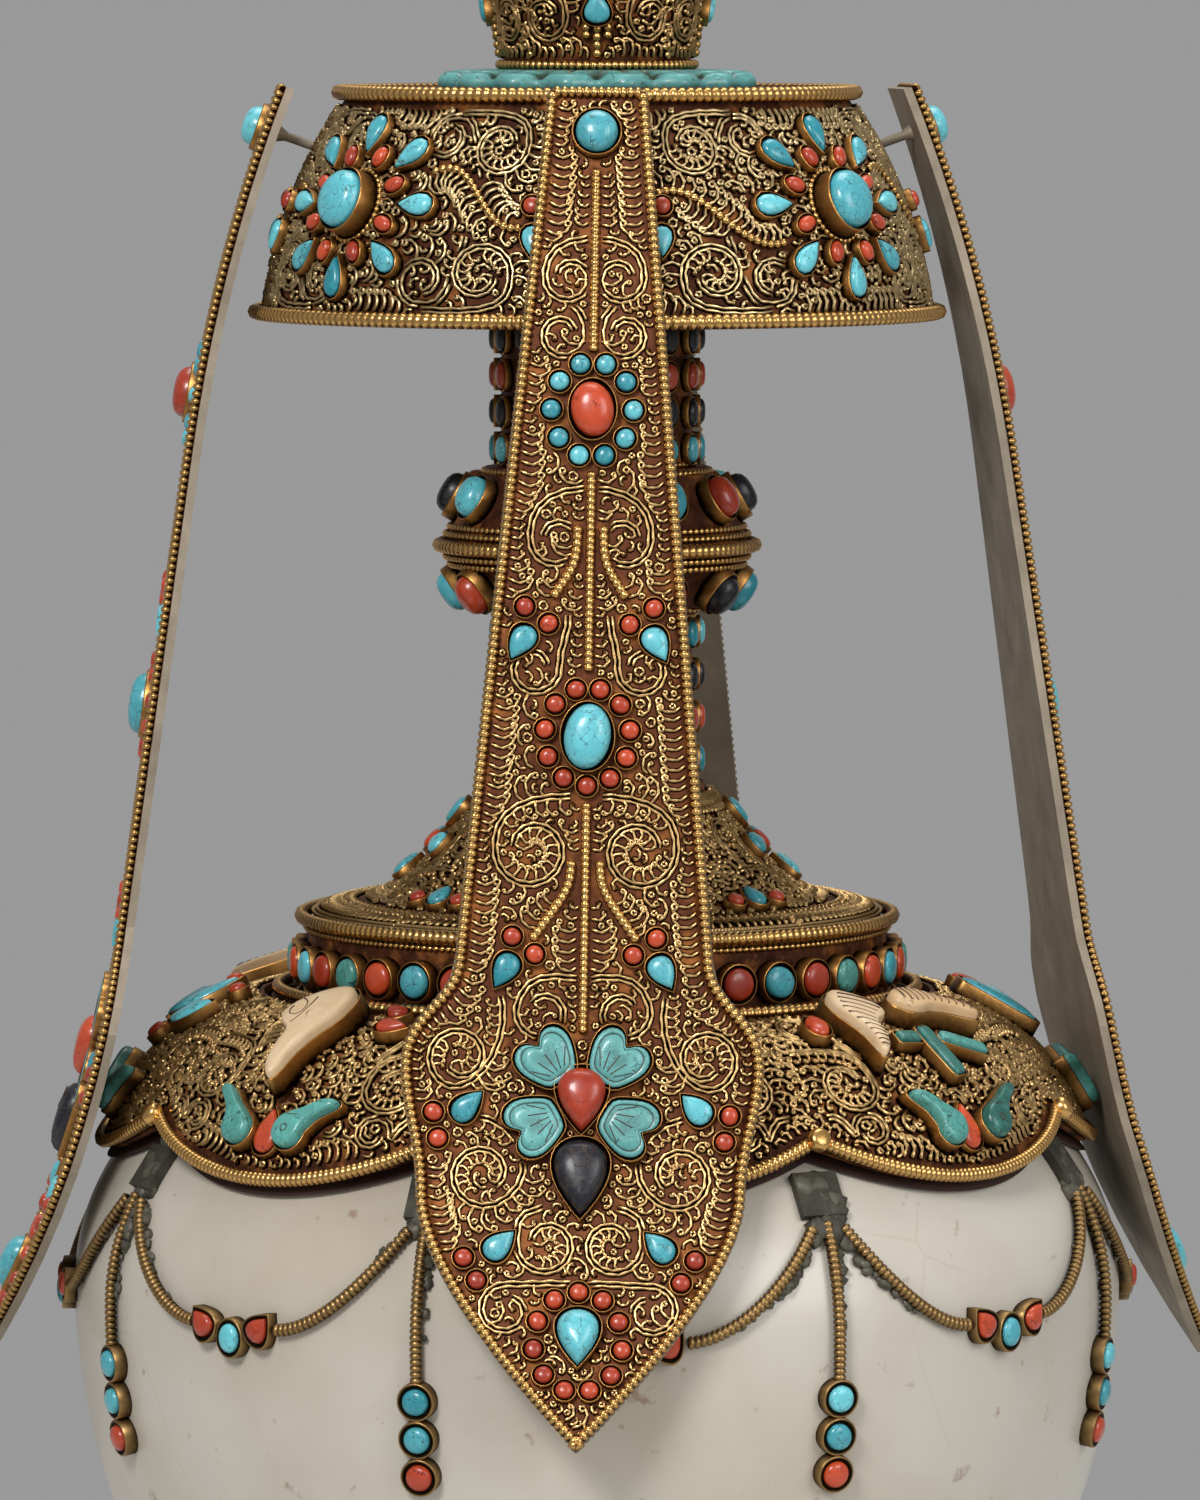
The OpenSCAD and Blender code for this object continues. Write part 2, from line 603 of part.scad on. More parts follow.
// Outlines of stones, w wide and h high, grown by g all round, with a drop's point at the top
// Share of a radius at which a straight side leaves a round end
side_start = 0.97;
// An oval that is longer than wide by less than this share of its width is round
oval_sides = 0.24;
module oval(w, h, g) {
    r = w / 2 + g;
    if (h - w < oval_sides * w) circle(r = r + (h - w) / 4);
    else {
        for (way = [-1, 1]) translate([0, way * (h - w) / 2]) circle(r = r);
        square([2 * side_start * r, h - w], center = true);
    }
}
module drop(w, h, g) {
    r = w / 2 + g;
    reach = (h - w / 2) * r / (w / 2);
    half = asin(r / reach);
    side = side_start * r * [cos(half), sin(half)];
    translate([0, (w - h) / 2]) {
        circle(r = r);
        polygon([[0, reach], [-side[0], side[1]], side]);
    }
}
// A heart is two round lobes and the straight sides from them to the point
heart_lobe = 0.3;
module heart(w, h, g) {
    r = heart_lobe * w;
    at = [w / 2 - r, r - h / 2];
    d = at - [0, h / 2];
    half = turn_of(d) + asin(r / norm(d)) + 90;
    point = [0, h / 2 + g / sin(half)];
    side = at + side_start * (r + g) * [cos(half), sin(half)];
    for (way = [-1, 1]) translate([way * at[0], at[1]]) circle(r = r + g);
    polygon([point, [-side[0], side[1]], [-at[0], at[1]], at, side]);
}
module leaf(w, h, g) {
    r = (w * w + h * h) / (4 * w);
    intersection_for (way = [-1, 1]) translate([way * (r - w / 2), 0]) circle(r = r + g);
}
// A comma is a drop whose tail bends to one side, to the right for a bend above 0
comma_width = 1.3;
comma_points = 10;
function comma(w, h, bend) = [for (i = [0 : comma_points - 1]) let (a = 360 * i / comma_points)
    [-comma_width * w / 2 * sin(a) * sin(a / 2) + bend * w * pow((1 + cos(a)) / 2, 2), h / 2 * cos(a)]];
comma_bend = 0.5;
function half_round(w, h) = [for (a = [0 : 22.5 : 180]) [w / 2 * cos(a), h * sin(a) - h / 2]];
function slab(w, h) = [[w / 2, -h / 2], [w / 2, h / 2], [-w / 2, h / 2], [-w / 2, -h / 2]];
module outline(shape, w, h, g) {
    if (shape == "round") circle(r = w / 2 + g);
    if (shape == "oval") oval(w, h, g);
    if (shape == "drop") drop(w, h, g);
    if (shape == "heart") heart(w, h, g);
    if (shape == "leaf") leaf(w, h, g);
    if (shape == "half") polygon(inset(half_round(w, h), -g));
    if (shape == "comma") polygon(inset(comma(w, h, comma_bend), -g));
    if (shape == "comma_left") polygon(inset(comma(w, h, -comma_bend), -g));
    if (shape == "slab") polygon(inset(slab(w, h), -g));
}
function bezel_h(w) = w < large_from ? small_bezel_h : large_bezel_h;
function stone_rise(w) = w < large_from ? small_rise : large_rise;

// A gem is [stone, shape, width, height, turn in its plane, seat]
coral_d = 2 * coral_r;
bead_d = 2 * bead_r;
// Round gems on an oval of half-axes ab about a place on a strap, from a share of a step past its top
function strap_ring(stone, d, n, turn, t, ab, start) = [for (i = [0 : n - 1]) let (f = 360 * (i + start) / n)
    [stone, "round", d, d, 0, strap_seat(turn, ab[0] * sin(f), t - ab[1] * cos(f))]];
// A pair of clusters: two corals and a turquoise drop on each side of the strap's middle
function strap_pair(turn, t, at, point) = [for (side = [-1, 1]) each [
    ["C", "round", coral_d, coral_d, 0, strap_seat(turn, side * at[0][0], t + at[0][1])],
    ["C", "round", coral_d, coral_d, 0, strap_seat(turn, side * at[1][0], t + at[1][1])],
    ["T", "drop", drop_w, drop_h, side * point, strap_seat(turn, side * at[2][0], t + at[2][1])]]];
function strap_gems(turn) = concat(
    [["T", "round", crown_d, crown_d, 0, strap_seat(turn, 0, peg_drop)],
     ["C", "oval", flower_w[0], flower_h[0], 0, strap_seat(turn, 0, flower_t[0])],
     ["T", "oval", flower_w[1], flower_h[1], 0, strap_seat(turn, 0, flower_t[1])],
     ["C", "drop", flower_w[2], flower_h[2], 180, strap_seat(turn, 0, flower_t[2])],
     ["L", "leaf", leaf_w, leaf_h, 180, strap_seat(turn, 0, flower_t[2] + leaf_below)],
     ["T", "drop", flower_w[3], flower_h[3], 180, strap_seat(turn, 0, flower_t[3])]],
    strap_ring("T", bead_d, ring_1_stones, turn, flower_t[0], ring_1, ring_starts[0]),
    strap_ring("C", coral_d, ring_2_stones, turn, flower_t[1], ring_2, ring_starts[1]),
    strap_ring("C", coral_d, ring_2_stones, turn, flower_t[3] + ring_drop, ring_4, ring_starts[2]),
    strap_pair(turn, top_len, pair_1, pair_down),
    strap_pair(turn, blade_t, pair_2, pair_down),
    strap_pair(turn, blade_t, pair_3, pair_up),
    strap_pair(turn, blade_t, pair_4, pair_up),
    [for (side = [-1, 1]) each [
        ["T", "heart", petal_w, petal_h, side * (180 - petal_turn),
         strap_seat(turn, side * petal_high[0], flower_t[2] - petal_high[1])],
        ["T", "heart", petal_w, petal_h, side * petal_turn,
         strap_seat(turn, side * petal_low[0], flower_t[2] + petal_low[1])]]]);

// Rosettes between the straps and small clusters beside each strap on the canopy, flowers on the mouth cup
function canopy_gems() = concat(
    [for (turn = rosette_turns) each concat(
        [["T", "oval", rosette_w, rosette_h, 0, canopy_seat(turn, 0, 0)]],
        [for (i = [0 : rosette_stones - 1]) let (a = 360 * (i + 0.5) / rosette_stones)
            ["C", "oval", rosette_coral[0], rosette_coral[1], -a,
             canopy_seat(turn, rosette_inner[0] * sin(a), rosette_inner[1] * cos(a))]],
        [for (i = [0 : rosette_stones - 1]) let (a = 360 * i / rosette_stones)
            ["T", "drop", rosette_petal[0], rosette_petal[1], 180 - a,
             canopy_seat(turn, rosette_outer[0] * sin(a), rosette_outer[1] * cos(a))]])],
    [for (turn = strap_turns, side = [-1, 1]) each [
        ["C", "round", coral_d, coral_d, 0, canopy_seat(turn, side * beside_u, 0)],
        ["T", "drop", beside_drop[0], beside_drop[1], 180,
         canopy_seat(turn, side * beside_u, -beside_below)]]],
    [for (turn = flower_turns) each flower_gems([for (d = flower_way)
        cup_seat(turn, cup_flower_reach * d[0], z_mouth + cup_flower_z + cup_flower_reach * d[1])])]);
// A coral with four turquoise petals, given the five seats: middle, right, up, left and down
flower_turns = [0, 90, 180, 270];
flower_way = [[0, 0], [1, 0], [0, 1], [-1, 0], [0, -1]];
function flower_gems(seats) = concat([["C", "round", four_coral_d, four_coral_d, 0, seats[0]]],
    [for (i = [1 : 4]) ["T", "drop", four_petal[0], four_petal[1], 90 * i, seats[i]]]);
// Stones round the collar, and flowers and clusters on the dome
function collar_gems() = concat(
    [for (i = [0 : collar_stones - 1])
        [i % 2 == 0 ? "T" : "C", "round", collar_gem_d, collar_gem_d, 0,
         drum_seat(360 * i / collar_stones, collar_r, z_collar + collar_gem_z, 0)]],
    [for (turn = flower_turns) each flower_gems([for (d = flower_way)
        dome_seat(turn, dome_flower_u * d[0], dome_flower_f + dome_flower_df * d[1])])],
    [for (turn = flower_turns) each [
        ["T", "drop", beside_drop[0], beside_drop[1], 0, dome_seat(turn + 45, 0, dome_drop_f)],
        ["C", "round", coral_d, coral_d, 0, dome_seat(turn + 45, -dome_coral_u, dome_coral_f)],
        ["C", "round", coral_d, coral_d, 0, dome_seat(turn + 45, dome_coral_u, dome_coral_f)]]]);
// Rows of ovals on the two sleeves and the two cones of the knop
low_rows = ["T", "C", "L", "T"];
up_rows = ["T", "L", "C", "L"];
knop_row = ["L", "T", "C"];
function sleeve_gems(z0, h, rows) = [for (row = [0 : sleeve_rows - 1], i = [0 : sleeve_stones - 1])
    [rows[row], "oval", sleeve_gem_w, sleeve_gem_h, 0,
     drum_seat(360 * i / sleeve_stones, sleeve_r, z0 + h * (row + 0.5) / sleeve_rows, 0)]];
low_tilt = -atan2(knop_r - knop_end_r, knop_low_h);
up_tilt = atan2(knop_r - knop_end_r, knop_up_h);
function neck_gems() = concat(
    sleeve_gems(z_neck, low_sleeve_h, low_rows),
    sleeve_gems(z_upper, up_sleeve_h, up_rows),
    [for (i = [0 : knop_stones - 1]) each [
        [knop_row[i % 3], "oval", knop_gem_w, knop_gem_h, 0,
         drum_seat(360 * i / knop_stones, (knop_r + knop_end_r) / 2, z_cone + knop_up_h / 2, up_tilt)],
        [knop_row[(i + 1) % 3], "oval", knop_gem_w, knop_gem_h, 0,
         drum_seat(360 * i / knop_stones, (knop_r + knop_end_r) / 2, z_knop + knop_low_h / 2, low_tilt)]]]);

// Emblems of the shoulder lobes: rows of [stone, shape, width, height, turn, right, up from the lobe tip]
vase_emblem = [["S", "oval", 9, 10, 0, 0, 24.5],
    ["C", "half", 5, 3.4, 0, 0, 32.6]];
parasol_emblem = [["S", "drop", 8.5, 14, 168, -10, 27],
    ["S", "half", 15.5, 6, -24, 7, 31.5],
    ["T", "slab", 2.6, 9, 0, 2.6, 20.4],
    ["T", "slab", 4.2, 2.2, -10, -2.3, 24.6],
    ["T", "slab", 2.2, 9, 58, 9.8, 22],
    ["C", "oval", 4, 5.4, 0, -17.6, 29]];
banner_emblem = [["T", "slab", 5, 15, 10, -5, 27],
    ["T", "leaf", 5, 11, -20, 5, 24],
    ["C", "oval", 4, 5.4, 0, 1, 32.5]];
wheel_emblem = [["S", "round", 11, 11, 0, 0, 26],
    ["T", "drop", 4.4, 6, -90, -10, 26],
    ["T", "drop", 4.4, 6, 90, 10, 26],
    ["C", "round", 3, 3, 0, -8, 32],
    ["C", "round", 3, 3, 0, 8, 32]];
knot_emblem = [["C", "slab", 8, 8, 45, 0, 26],
    ["T", "drop", 4, 6, 90, 10, 26],
    ["T", "drop", 4, 6, -90, -10, 26],
    ["T", "round", 3.2, 3.2, 0, 0, 34.5]];
lotus_emblem = [["T", "leaf", 5, 13, 0, 0, 29],
    ["T", "leaf", 5, 12, 50, -8, 25.5],
    ["T", "leaf", 5, 12, -50, 8, 25.5],
    ["C", "round", 3.6, 3.6, 0, 0, 19.4],
    ["C", "round", 3.2, 3.2, 0, -8.5, 33.5],
    ["C", "round", 3.2, 3.2, 0, 8.5, 33.5]];
conch_emblem = [["S", "comma_left", 12, 19, 152, 1, 26.5],
    ["C", "drop", 3.6, 5, 60, 10, 33.4],
    ["C", "drop", 3.6, 5.6, -90, 13.5, 28.4],
    ["C", "drop", 3.4, 5, 90, -9.4, 31]];
emblems = [vase_emblem, parasol_emblem, banner_emblem, wheel_emblem,
    knot_emblem, parasol_emblem, lotus_emblem, conch_emblem];
// Each lobe also has a coral drop between two curled turquoise leaves
lobe_foot = [["C", "drop", 4.6, 8, 0, 0, 7.2],
    ["T", "comma", 5.6, 11, -32, 8, 9.2],
    ["T", "comma_left", 5.6, 11, 32, -8, 9.2]];
function lobe_turn_of(k) = lobe_turn + lobe_step * k;
function shoulder_gems() = [for (k = [0 : lobes - 1])
    each [for (g = concat(emblems[k % len(emblems)], lobe_foot))
        [g[0], g[1], g[2], g[3], g[4], cap_seat(lobe_turn_of(k), g[5], g[6])]]];

// Drops under the studs and three stones in the middle of each swag
function stud_turn(k) = lobe_turn_of(k) + lobe_step / 2;
function garland_gems() = [for (k = [0 : lobes - 1]) each concat(
    [for (i = [0 : 2]) [i < 2 ? "T" : "C", "round", garland_gem_d, garland_gem_d, 0,
        stone_seat(stud_turn(k), 0, z_wide - drop_z - i * garland_step)]],
    [for (i = [-1 : 1]) [i == 0 ? "T" : "C", "round", garland_gem_d, garland_gem_d, 0,
        stone_seat(lobe_turn_of(k), i * garland_step, z_wide - swag_z + abs(i) * swag_curve)]])];

// Tube of radius r along a path of points, five-sided, closed on itself or with flat ends
tube_sides = 5;
function tube_ring(p, way, out, r) = let (n = unit(out - (out * way) * way), b = cross(way, n))
    [for (i = [0 : tube_sides - 1]) let (a = 360 * i / tube_sides) p + r * (cos(a) * n + sin(a) * b)];
module tube(path, r, closed) {
    n = len(path);
    rings = [for (i = [0 : n - 1])
        let (before = path[closed ? (i + n - 1) % n : max(i - 1, 0)],
             after = path[closed ? (i + 1) % n : min(i + 1, n - 1)])
        each tube_ring(path[i], unit(after - before), [path[i][0], path[i][1], 0], r)];
    sides = [for (i = [0 : closed ? n - 1 : n - 2], j = [0 : tube_sides - 1])
        let (a = i * tube_sides + j, b = i * tube_sides + (j + 1) % tube_sides,
             c = ((i + 1) % n) * tube_sides + j, d = ((i + 1) % n) * tube_sides + (j + 1) % tube_sides)
        each [[a, c, b], [b, c, d]]];
    last = (n - 1) * tube_sides;
    ends = closed ? [] : [[for (j = [0 : tube_sides - 1]) j],
        [for (j = [tube_sides - 1 : -1 : 0]) last + j]];
    polyhedron(rings, concat(sides, ends));
}
function round_at(turn, r, z) = [r * sin(turn), -r * cos(turn), z];
// Point beside the stone, d outside its surface
function stone_point(turn, z, d) = let (a = stone_tilt(z))
    round_at(turn, stone_r(z) + d * cos(a), z + d * sin(a));

module at_seat(s) rotate([0, 0, s[0]]) translate([s[4], -s[1], s[2]]) rotate([90 - s[3], 0, 0]) children();
module ring_wire(r, z, wire) translate([0, 0, z]) rotate_extrude() translate([r, 0]) circle(r = wire);

// One setting: a low cup that holds a stone
module setting(g) {
    h = bezel_h(g[2]);
    at_seat(g[5]) rotate([0, 0, g[4]]) difference() {
        linear_extrude(h) outline(g[1], g[2], g[3], lip);
        translate([0, 0, bezel_floor]) linear_extrude(h) outline(g[1], g[2], g[3], stone_fit);
    }
}
module settings(gems) color(GILT) for (g = gems) setting(g);

// One stone: an upright side and a ball-shaped top
module gem(g) {
    h = bezel_h(g[2]);
    rise = stone_rise(g[2]);
    half = max(g[2], g[3]) / 2;
    ball = (half * half + rise * rise) / (2 * rise);
    low = bezel_floor + stone_fit;
    at_seat(g[5]) rotate([0, 0, g[4]]) intersection() {
        translate([0, 0, low]) linear_extrude(h + rise) outline(g[1], g[2], g[3], 0);
        translate([0, 0, h + rise - ball]) sphere(r = ball);
    }
}
module stones(gems, stone, tint) color(tint) for (g = gems) if (g[0] == stone) gem(g);

// Foot: a spun sheet bell with a base band, a waist and a flat top
module foot() {
    low = [[foot_r - foot_step, foot_band_h + foot_step],
        [(foot_r + foot_waist_r) / 2, foot_band_h + foot_rise * foot_step],
        [foot_waist_r, foot_h * foot_levels[0]], [foot_waist_r, foot_h * foot_levels[1]]];
    high = [low[3], [foot_waist_r, foot_h * foot_levels[2]],
        [foot_top_r * foot_turn_out, foot_h * foot_levels[3]], [foot_top_r, foot_h - sheet]];
    inside = moved(low, [-sheet, 0]);
    color(GILT) rotate_extrude() polygon(concat(
        [[foot_r - foot_ring_w, 0], [foot_r, 0], [foot_r, foot_band_h], low[0]],
        curve_rest(low, bends), curve_rest(high, bends),
        [[foot_top_r, foot_h], [0, foot_h], [0, foot_h - sheet], [foot_waist_r, foot_h - sheet]],
        reversed(curve_rest(inside, bends)),
        [[foot_r - foot_ring_w, foot_band_h]]));
}

module foot_plate() color(GILT) translate([0, 0, foot_plate_z])
    cylinder(r = foot_r - foot_ring_w - nest, h = foot_plate_t);

// Beaded wires: two round the base band and one along the lower cup's scallops
module foot_rims() color(GILT) {
    ring_wire(foot_r + fine_wire + seat, fine_wire + seat, fine_wire);
    ring_wire(foot_r + fine_wire + seat, foot_band_h - seat, fine_wire);
    tube([for (k = [0 : lobes - 1], i = [0 : lobe_rings - 1])
        let (a = (i / lobe_rings - 0.5) * lobe_step, z = low_lobe_edge(low_edge_r * sin(a)) - fine_wire,
             d = cup_inner + sheet + fine_wire + seat)
        stone_point(lobe_turn_of(k) + a, z, d)], fine_wire, true);
}

module belly() color(STONE) difference() {
    rotate_extrude() polygon(concat([[0, foot_h]], stone_skin(foot_h, z_wide, 0, 2 * bends),
        rest(stone_skin(z_wide, z_collar, 0, 2 * bends)), [[0, z_collar]]));
    rotate_extrude() polygon(belly_hollow());
    translate([0, 0, z_wide]) cylinder(r = belly_mouth_r, h = belly_rise);
}
// Inside of the belly: the same two half-ovals, drawn in by the wall
function belly_hollow() = let (r = belly_r - belly_wall, up = belly_rise - belly_top_wall,
    down = belly_drop - belly_wall, low = foot_h + belly_wall - z_wide)
    concat([[0, z_wide + low]],
        [for (i = [0 : bends]) let (a = asin(low / down) * (1 - i / bends))
            [r * cos(a), z_wide + down * sin(a)]],
        [for (i = [1 : bends]) let (a = 90 * i / bends) [r * cos(a), z_wide + up * sin(a)]]);

// Everything between two levels outside the eight scallops, for cutting a round shell
module lobe_cutter(z, r, z0, z1) difference() {
    reach = belly_d;
    translate([0, 0, z0]) cylinder(r = reach, h = z1 - z0);
    for (k = [0 : lobes - 1]) rotate([0, 0, lobe_turn_of(k)])
        translate([0, 0, z]) rotate([90, 0, 0]) cylinder(r = r, h = 2 * reach, $fn = 96);
}

module belly_cup() color(GILT) difference() {
    rotate_extrude() polygon(concat(stone_skin(foot_h, z_low_tip + over, cup_inner + sheet, bends),
        reversed(stone_skin(foot_h, z_low_tip + over, cup_inner, bends))));
    translate([0, 0, -over]) cylinder(r = belly_d, h = foot_h + nest + over);
    lobe_cutter(z_low_tip - low_scallop, low_scallop, z_low_meet - over, z_low_tip + 2 * over);
}

module shoulder_cap() color(GILT) difference() {
    rotate_extrude() polygon(concat(arc_points(cap_mid, cap_bulge, cap_a0 - over, cap_a1, 2 * bends),
        reversed(arc_points(cap_mid, cap_bulge - sheet, cap_a0 - over, cap_a1, 2 * bends))));
    lobe_cutter(z_lobe + cap_scallop, cap_scallop, z_lobe - 2 * over, z_meet + over);
}

// Resin bed between the cap's edge and the stone, showing a little below the lobes
module shoulder_bed() color(RESIN) difference() {
    rotate_extrude() polygon(concat(
        stone_skin(z_lobe - bed_show - over, z_meet + bed_show, nest + bed_t, bends / 2),
        reversed(stone_skin(z_lobe - bed_show - over, z_meet + bed_show, nest, bends / 2))));
    lobe_cutter(z_lobe + cap_scallop, cap_scallop + bed_show, z_lobe - bed_show - 2 * over, z_meet);
}

module shoulder_rim() color(GILT) {
    tube([for (k = [0 : lobes - 1], i = [0 : lobe_rings - 1])
        let (a = (i / lobe_rings - 0.5) * lobe_step, z = lobe_edge(cap_edge[0] * sin(a)) + fine_wire)
        round_at(lobe_turn_of(k) + a, cap_r(z) + fine_wire + seat, z)], fine_wire, true);
    for (k = [0 : lobes - 1]) at_seat(stone_seat(stud_turn(k), 0, z_wide + tab_z))
        translate([0, tab_h / 2 - stud_r, tab_t]) cylinder(r1 = stud_r, r2 = 0.7 * stud_r, h = stud_h);
}

module garland_tabs() color(SOLDER) for (k = [0 : lobes - 1])
    at_seat(stone_seat(stud_turn(k), 0, z_wide + tab_z))
        translate([-tab_w / 2, -tab_h / 2, 0]) cube([tab_w, tab_h, tab_t]);

// Sag of a swag, its start below the tab in wire radii, and its straight steps
swag_sag = 1.8;
swag_start = 0.7;
swag_steps = 6;
// Each tab carries one straight wire to its drop and two that swing to the next swags
module garland_wires() {
    d = garland_wire + seat;
    z0 = z_wide + tab_z - tab_h / 2 - 2 * seat;
    z1 = z_wide - drop_z + garland_gem_d / 2 + lip + 2 * seat;
    side = degrees_of(garland_spread, stone_r(z0));
    swag = lobe_step / 2 - degrees_of(garland_step + garland_gem_d / 2 + lip + 2 * seat, belly_r);
    z2 = z_wide - swag_z + swag_curve;
    z3 = z0 - swag_start * garland_wire;
    settings(garland_gems());
    color(GILT) for (k = [0 : lobes - 1]) {
        tube([for (i = [0 : 4]) stone_point(stud_turn(k), z0 + (z1 - z0) * i / 4, d)], garland_wire, false);
        for (way = [-1, 1]) tube([for (i = [0 : swag_steps]) let (f = i / swag_steps)
            stone_point(stud_turn(k) + way * (side + (swag - side) * f),
                z2 + (z3 - z2) * pow(1 - f, swag_sag), d)], garland_wire, false);
    }
}

// Collar: a flat base on the stone, an upright wall and a flat top under the dome
module collar() color(GILT) rotate_extrude() polygon([
    [sleeve_bore_r, z_collar], [collar_flange_r, z_collar], [collar_flange_r, z_collar + sheet],
    [collar_r, z_collar + sheet], [collar_r, z_dome], [collar_r - collar_ledge, z_dome],
    [collar_r - collar_ledge, z_dome - sheet], [collar_r - sheet, z_dome - sheet],
    [collar_r - sheet, z_collar + sheet], [sleeve_bore_r, z_collar + sheet]]);

module neck_dome() {
    outer = concat([dome_lip[0]], curve_rest(dome_lip, bends / 2), curve_rest(dome_sweep, bends));
    inner_lip = moved(dome_lip, [-sheet, -sheet]);
    inner_sweep = moved(dome_sweep, [-sheet, -sheet]);
    color(GILT) intersection() {
        rotate_extrude() polygon(concat(outer, [[sleeve_bore_r, z_neck], [sleeve_bore_r, z_neck - sheet]],
            reversed(curve_rest(inner_sweep, bends)), reversed(curve_rest(inner_lip, bends / 2)),
            [inner_lip[0]]));
        translate([0, 0, z_dome]) cylinder(r = belly_d, h = belly_d);
    }
}

module neck_rims() color(GILT) {
    ring_wire(dome_r + fine_wire + seat, z_dome + fine_wire + seat, fine_wire);
    ring_wire(collar_flange_r - fine_wire, z_collar + sheet + fine_wire + seat, fine_wire);
    ring_wire(knop_r + fine_wire + seat, z_band + knop_band_h / 2, fine_wire);
}

module neck_tube() color(GILT) translate([0, 0, z_collar - tube_below]) difference() {
    cylinder(r = tube_r, h = z_mouth - z_collar + tube_below);
    translate([0, 0, -over]) cylinder(r = neck_bore_r, h = z_mouth - z_collar + tube_below + 2 * over);
}

module sleeve(z, h) translate([0, 0, z]) difference() {
    cylinder(r = sleeve_r, h = h);
    translate([0, 0, -over]) cylinder(r = sleeve_bore_r, h = h + 2 * over);
}
module neck_sleeves() color(GILT) {
    sleeve(z_neck, low_sleeve_h);
    sleeve(z_upper, up_sleeve_h);
}

module knop() color(GILT) rotate_extrude() polygon([
    [sleeve_bore_r, z_knop], [knop_end_r, z_knop], [knop_r, z_band],
    [knop_r, z_cone], [knop_end_r, z_upper], [sleeve_bore_r, z_upper]]);

// Canopy: a closed drum of rounded wall, floor and top, with a hole in the wall for each strap's peg
function canopy_arc(r) = arc_points(canopy_mid, r, canopy_a0 - over, canopy_a1 + over, 2 * bends);
module canopy_wall() color(GILT) difference() {
    intersection() {
        rotate_extrude()
            polygon(concat(canopy_arc(canopy_bulge), reversed(canopy_arc(canopy_bulge - sheet))));
        translate([0, 0, z_canopy]) cylinder(r = belly_d, h = canopy_h);
    }
    for (turn = strap_turns) at_peg(turn)
        translate([0, 0, -peg_head_at]) cylinder(r = peg_r + peg_fit, h = peg_head_at);
}
module canopy_floor() color(GILT) translate([0, 0, z_canopy]) difference() {
    cylinder(r = canopy_low_r - sheet - floor_gap, h = canopy_plate_t);
    translate([0, 0, -over]) cylinder(r = sleeve_bore_r, h = canopy_plate_t + 2 * over);
}
module canopy_top() color(GILT) translate([0, 0, z_plate]) difference() {
    cylinder(r = canopy_top_r, h = canopy_plate_t);
    translate([0, 0, -over]) cylinder(r = sleeve_bore_r, h = canopy_plate_t + 2 * over);
}
module canopy_rims() color(GILT) {
    ring_wire(canopy_low_r + rim_wire + seat, z_canopy + rim_wire, rim_wire);
    ring_wire(canopy_top_r + rim_wire + seat, z_plate + canopy_plate_t / 2, rim_wire);
    ring_wire(cup_lip_r + fine_wire + seat, z_lip - fine_wire, fine_wire);
}

// Carved petals in one ring that lies on the canopy round the foot of the mouth cup
module lotus_ring() color(TURQUOISE) translate([0, 0, z_mouth]) difference() {
    linear_extrude(lotus_t) polygon([for (i = [0 : 8 * lotus_petals - 1]) let (a = 45 * i / lotus_petals)
        (lotus_r - lotus_notch * pow(abs(cos(a * lotus_petals / 2)), 2)) * [sin(a), cos(a)]]);
    translate([0, 0, -over]) cylinder(r = cup_low_r + cup_slope * lotus_t + nest, h = lotus_t + 2 * over);
}

// Mouth cup: a thin flaring sheet, open above
module mouth_cup() color(GILT) rotate_extrude() polygon([[cup_low_r - sheet, z_mouth], [cup_low_r, z_mouth],
    [cup_lip_r, z_lip], [cup_lip_r - sheet, z_lip]]);

// Stopper: a tapered plug, a flange on the lip and a bud
module stopper() {
    plug_r = cup_lip_r - sheet - plug_fit;
    low_r = plug_r - cup_slope * plug_h;
    flange_r = cup_lip_r + 2 * fine_wire;
    bud = [[flange_r - 2 * flange_t, z_lip + flange_t],
        [flange_r + flange_t, z_lip + bud_levels[0] * stopper_h],
        [bud_widths[0] * flange_r, z_lip + bud_levels[1] * stopper_h],
        [bud_widths[1] * flange_r, z_lip + stopper_h]];
    color(GILT) rotate_extrude() polygon(concat(
        [[0, z_lip - plug_h], [low_r, z_lip - plug_h], [plug_r, z_lip + stopper_lift],
         [flange_r, z_lip + stopper_lift], [flange_r, z_lip + flange_t], bud[0]],
        curve_rest(bud, bends), [[0, z_lip + stopper_h]]));
}
module stopper_jewel() {
    flame = jewel_r * flame_curve;
    color(CORAL) translate([0, 0, z_lip + stopper_h])
        rotate_extrude() polygon(concat([[0, 0], flame[0]], curve_rest(flame, bends)));
}

// A strap hung aside about its peg
module from_peg(turn) rotate([peg_lean - 90, 0, 0]) translate([0, peg_at[0], -peg_at[1]])
    rotate([0, 0, -turn]) children();
module hung(k) at_peg(strap_turns[k]) rotate([0, 0, strap_hang[k]]) from_peg(strap_turns[k]) children();

// A strap's own frame: the front outline pushed through its bent side view
module at_peg(turn) rotate([0, 0, turn]) translate([0, -peg_at[0], peg_at[1]])
    rotate([90 - peg_lean, 0, 0]) children();
module bent_sheet(d0, d1) rotate([90, 0, 90]) linear_extrude(2 * blade_w, center = true)
    polygon([for (p = concat(strap_line(d0), reversed(strap_line(d1)))) [-p[0], p[1]]]);
module face_prism(points, margin) rotate([90, 0, 0]) translate([0, 0, -margin])
    linear_extrude(2 * belly_d + 2 * margin) polygon(points);

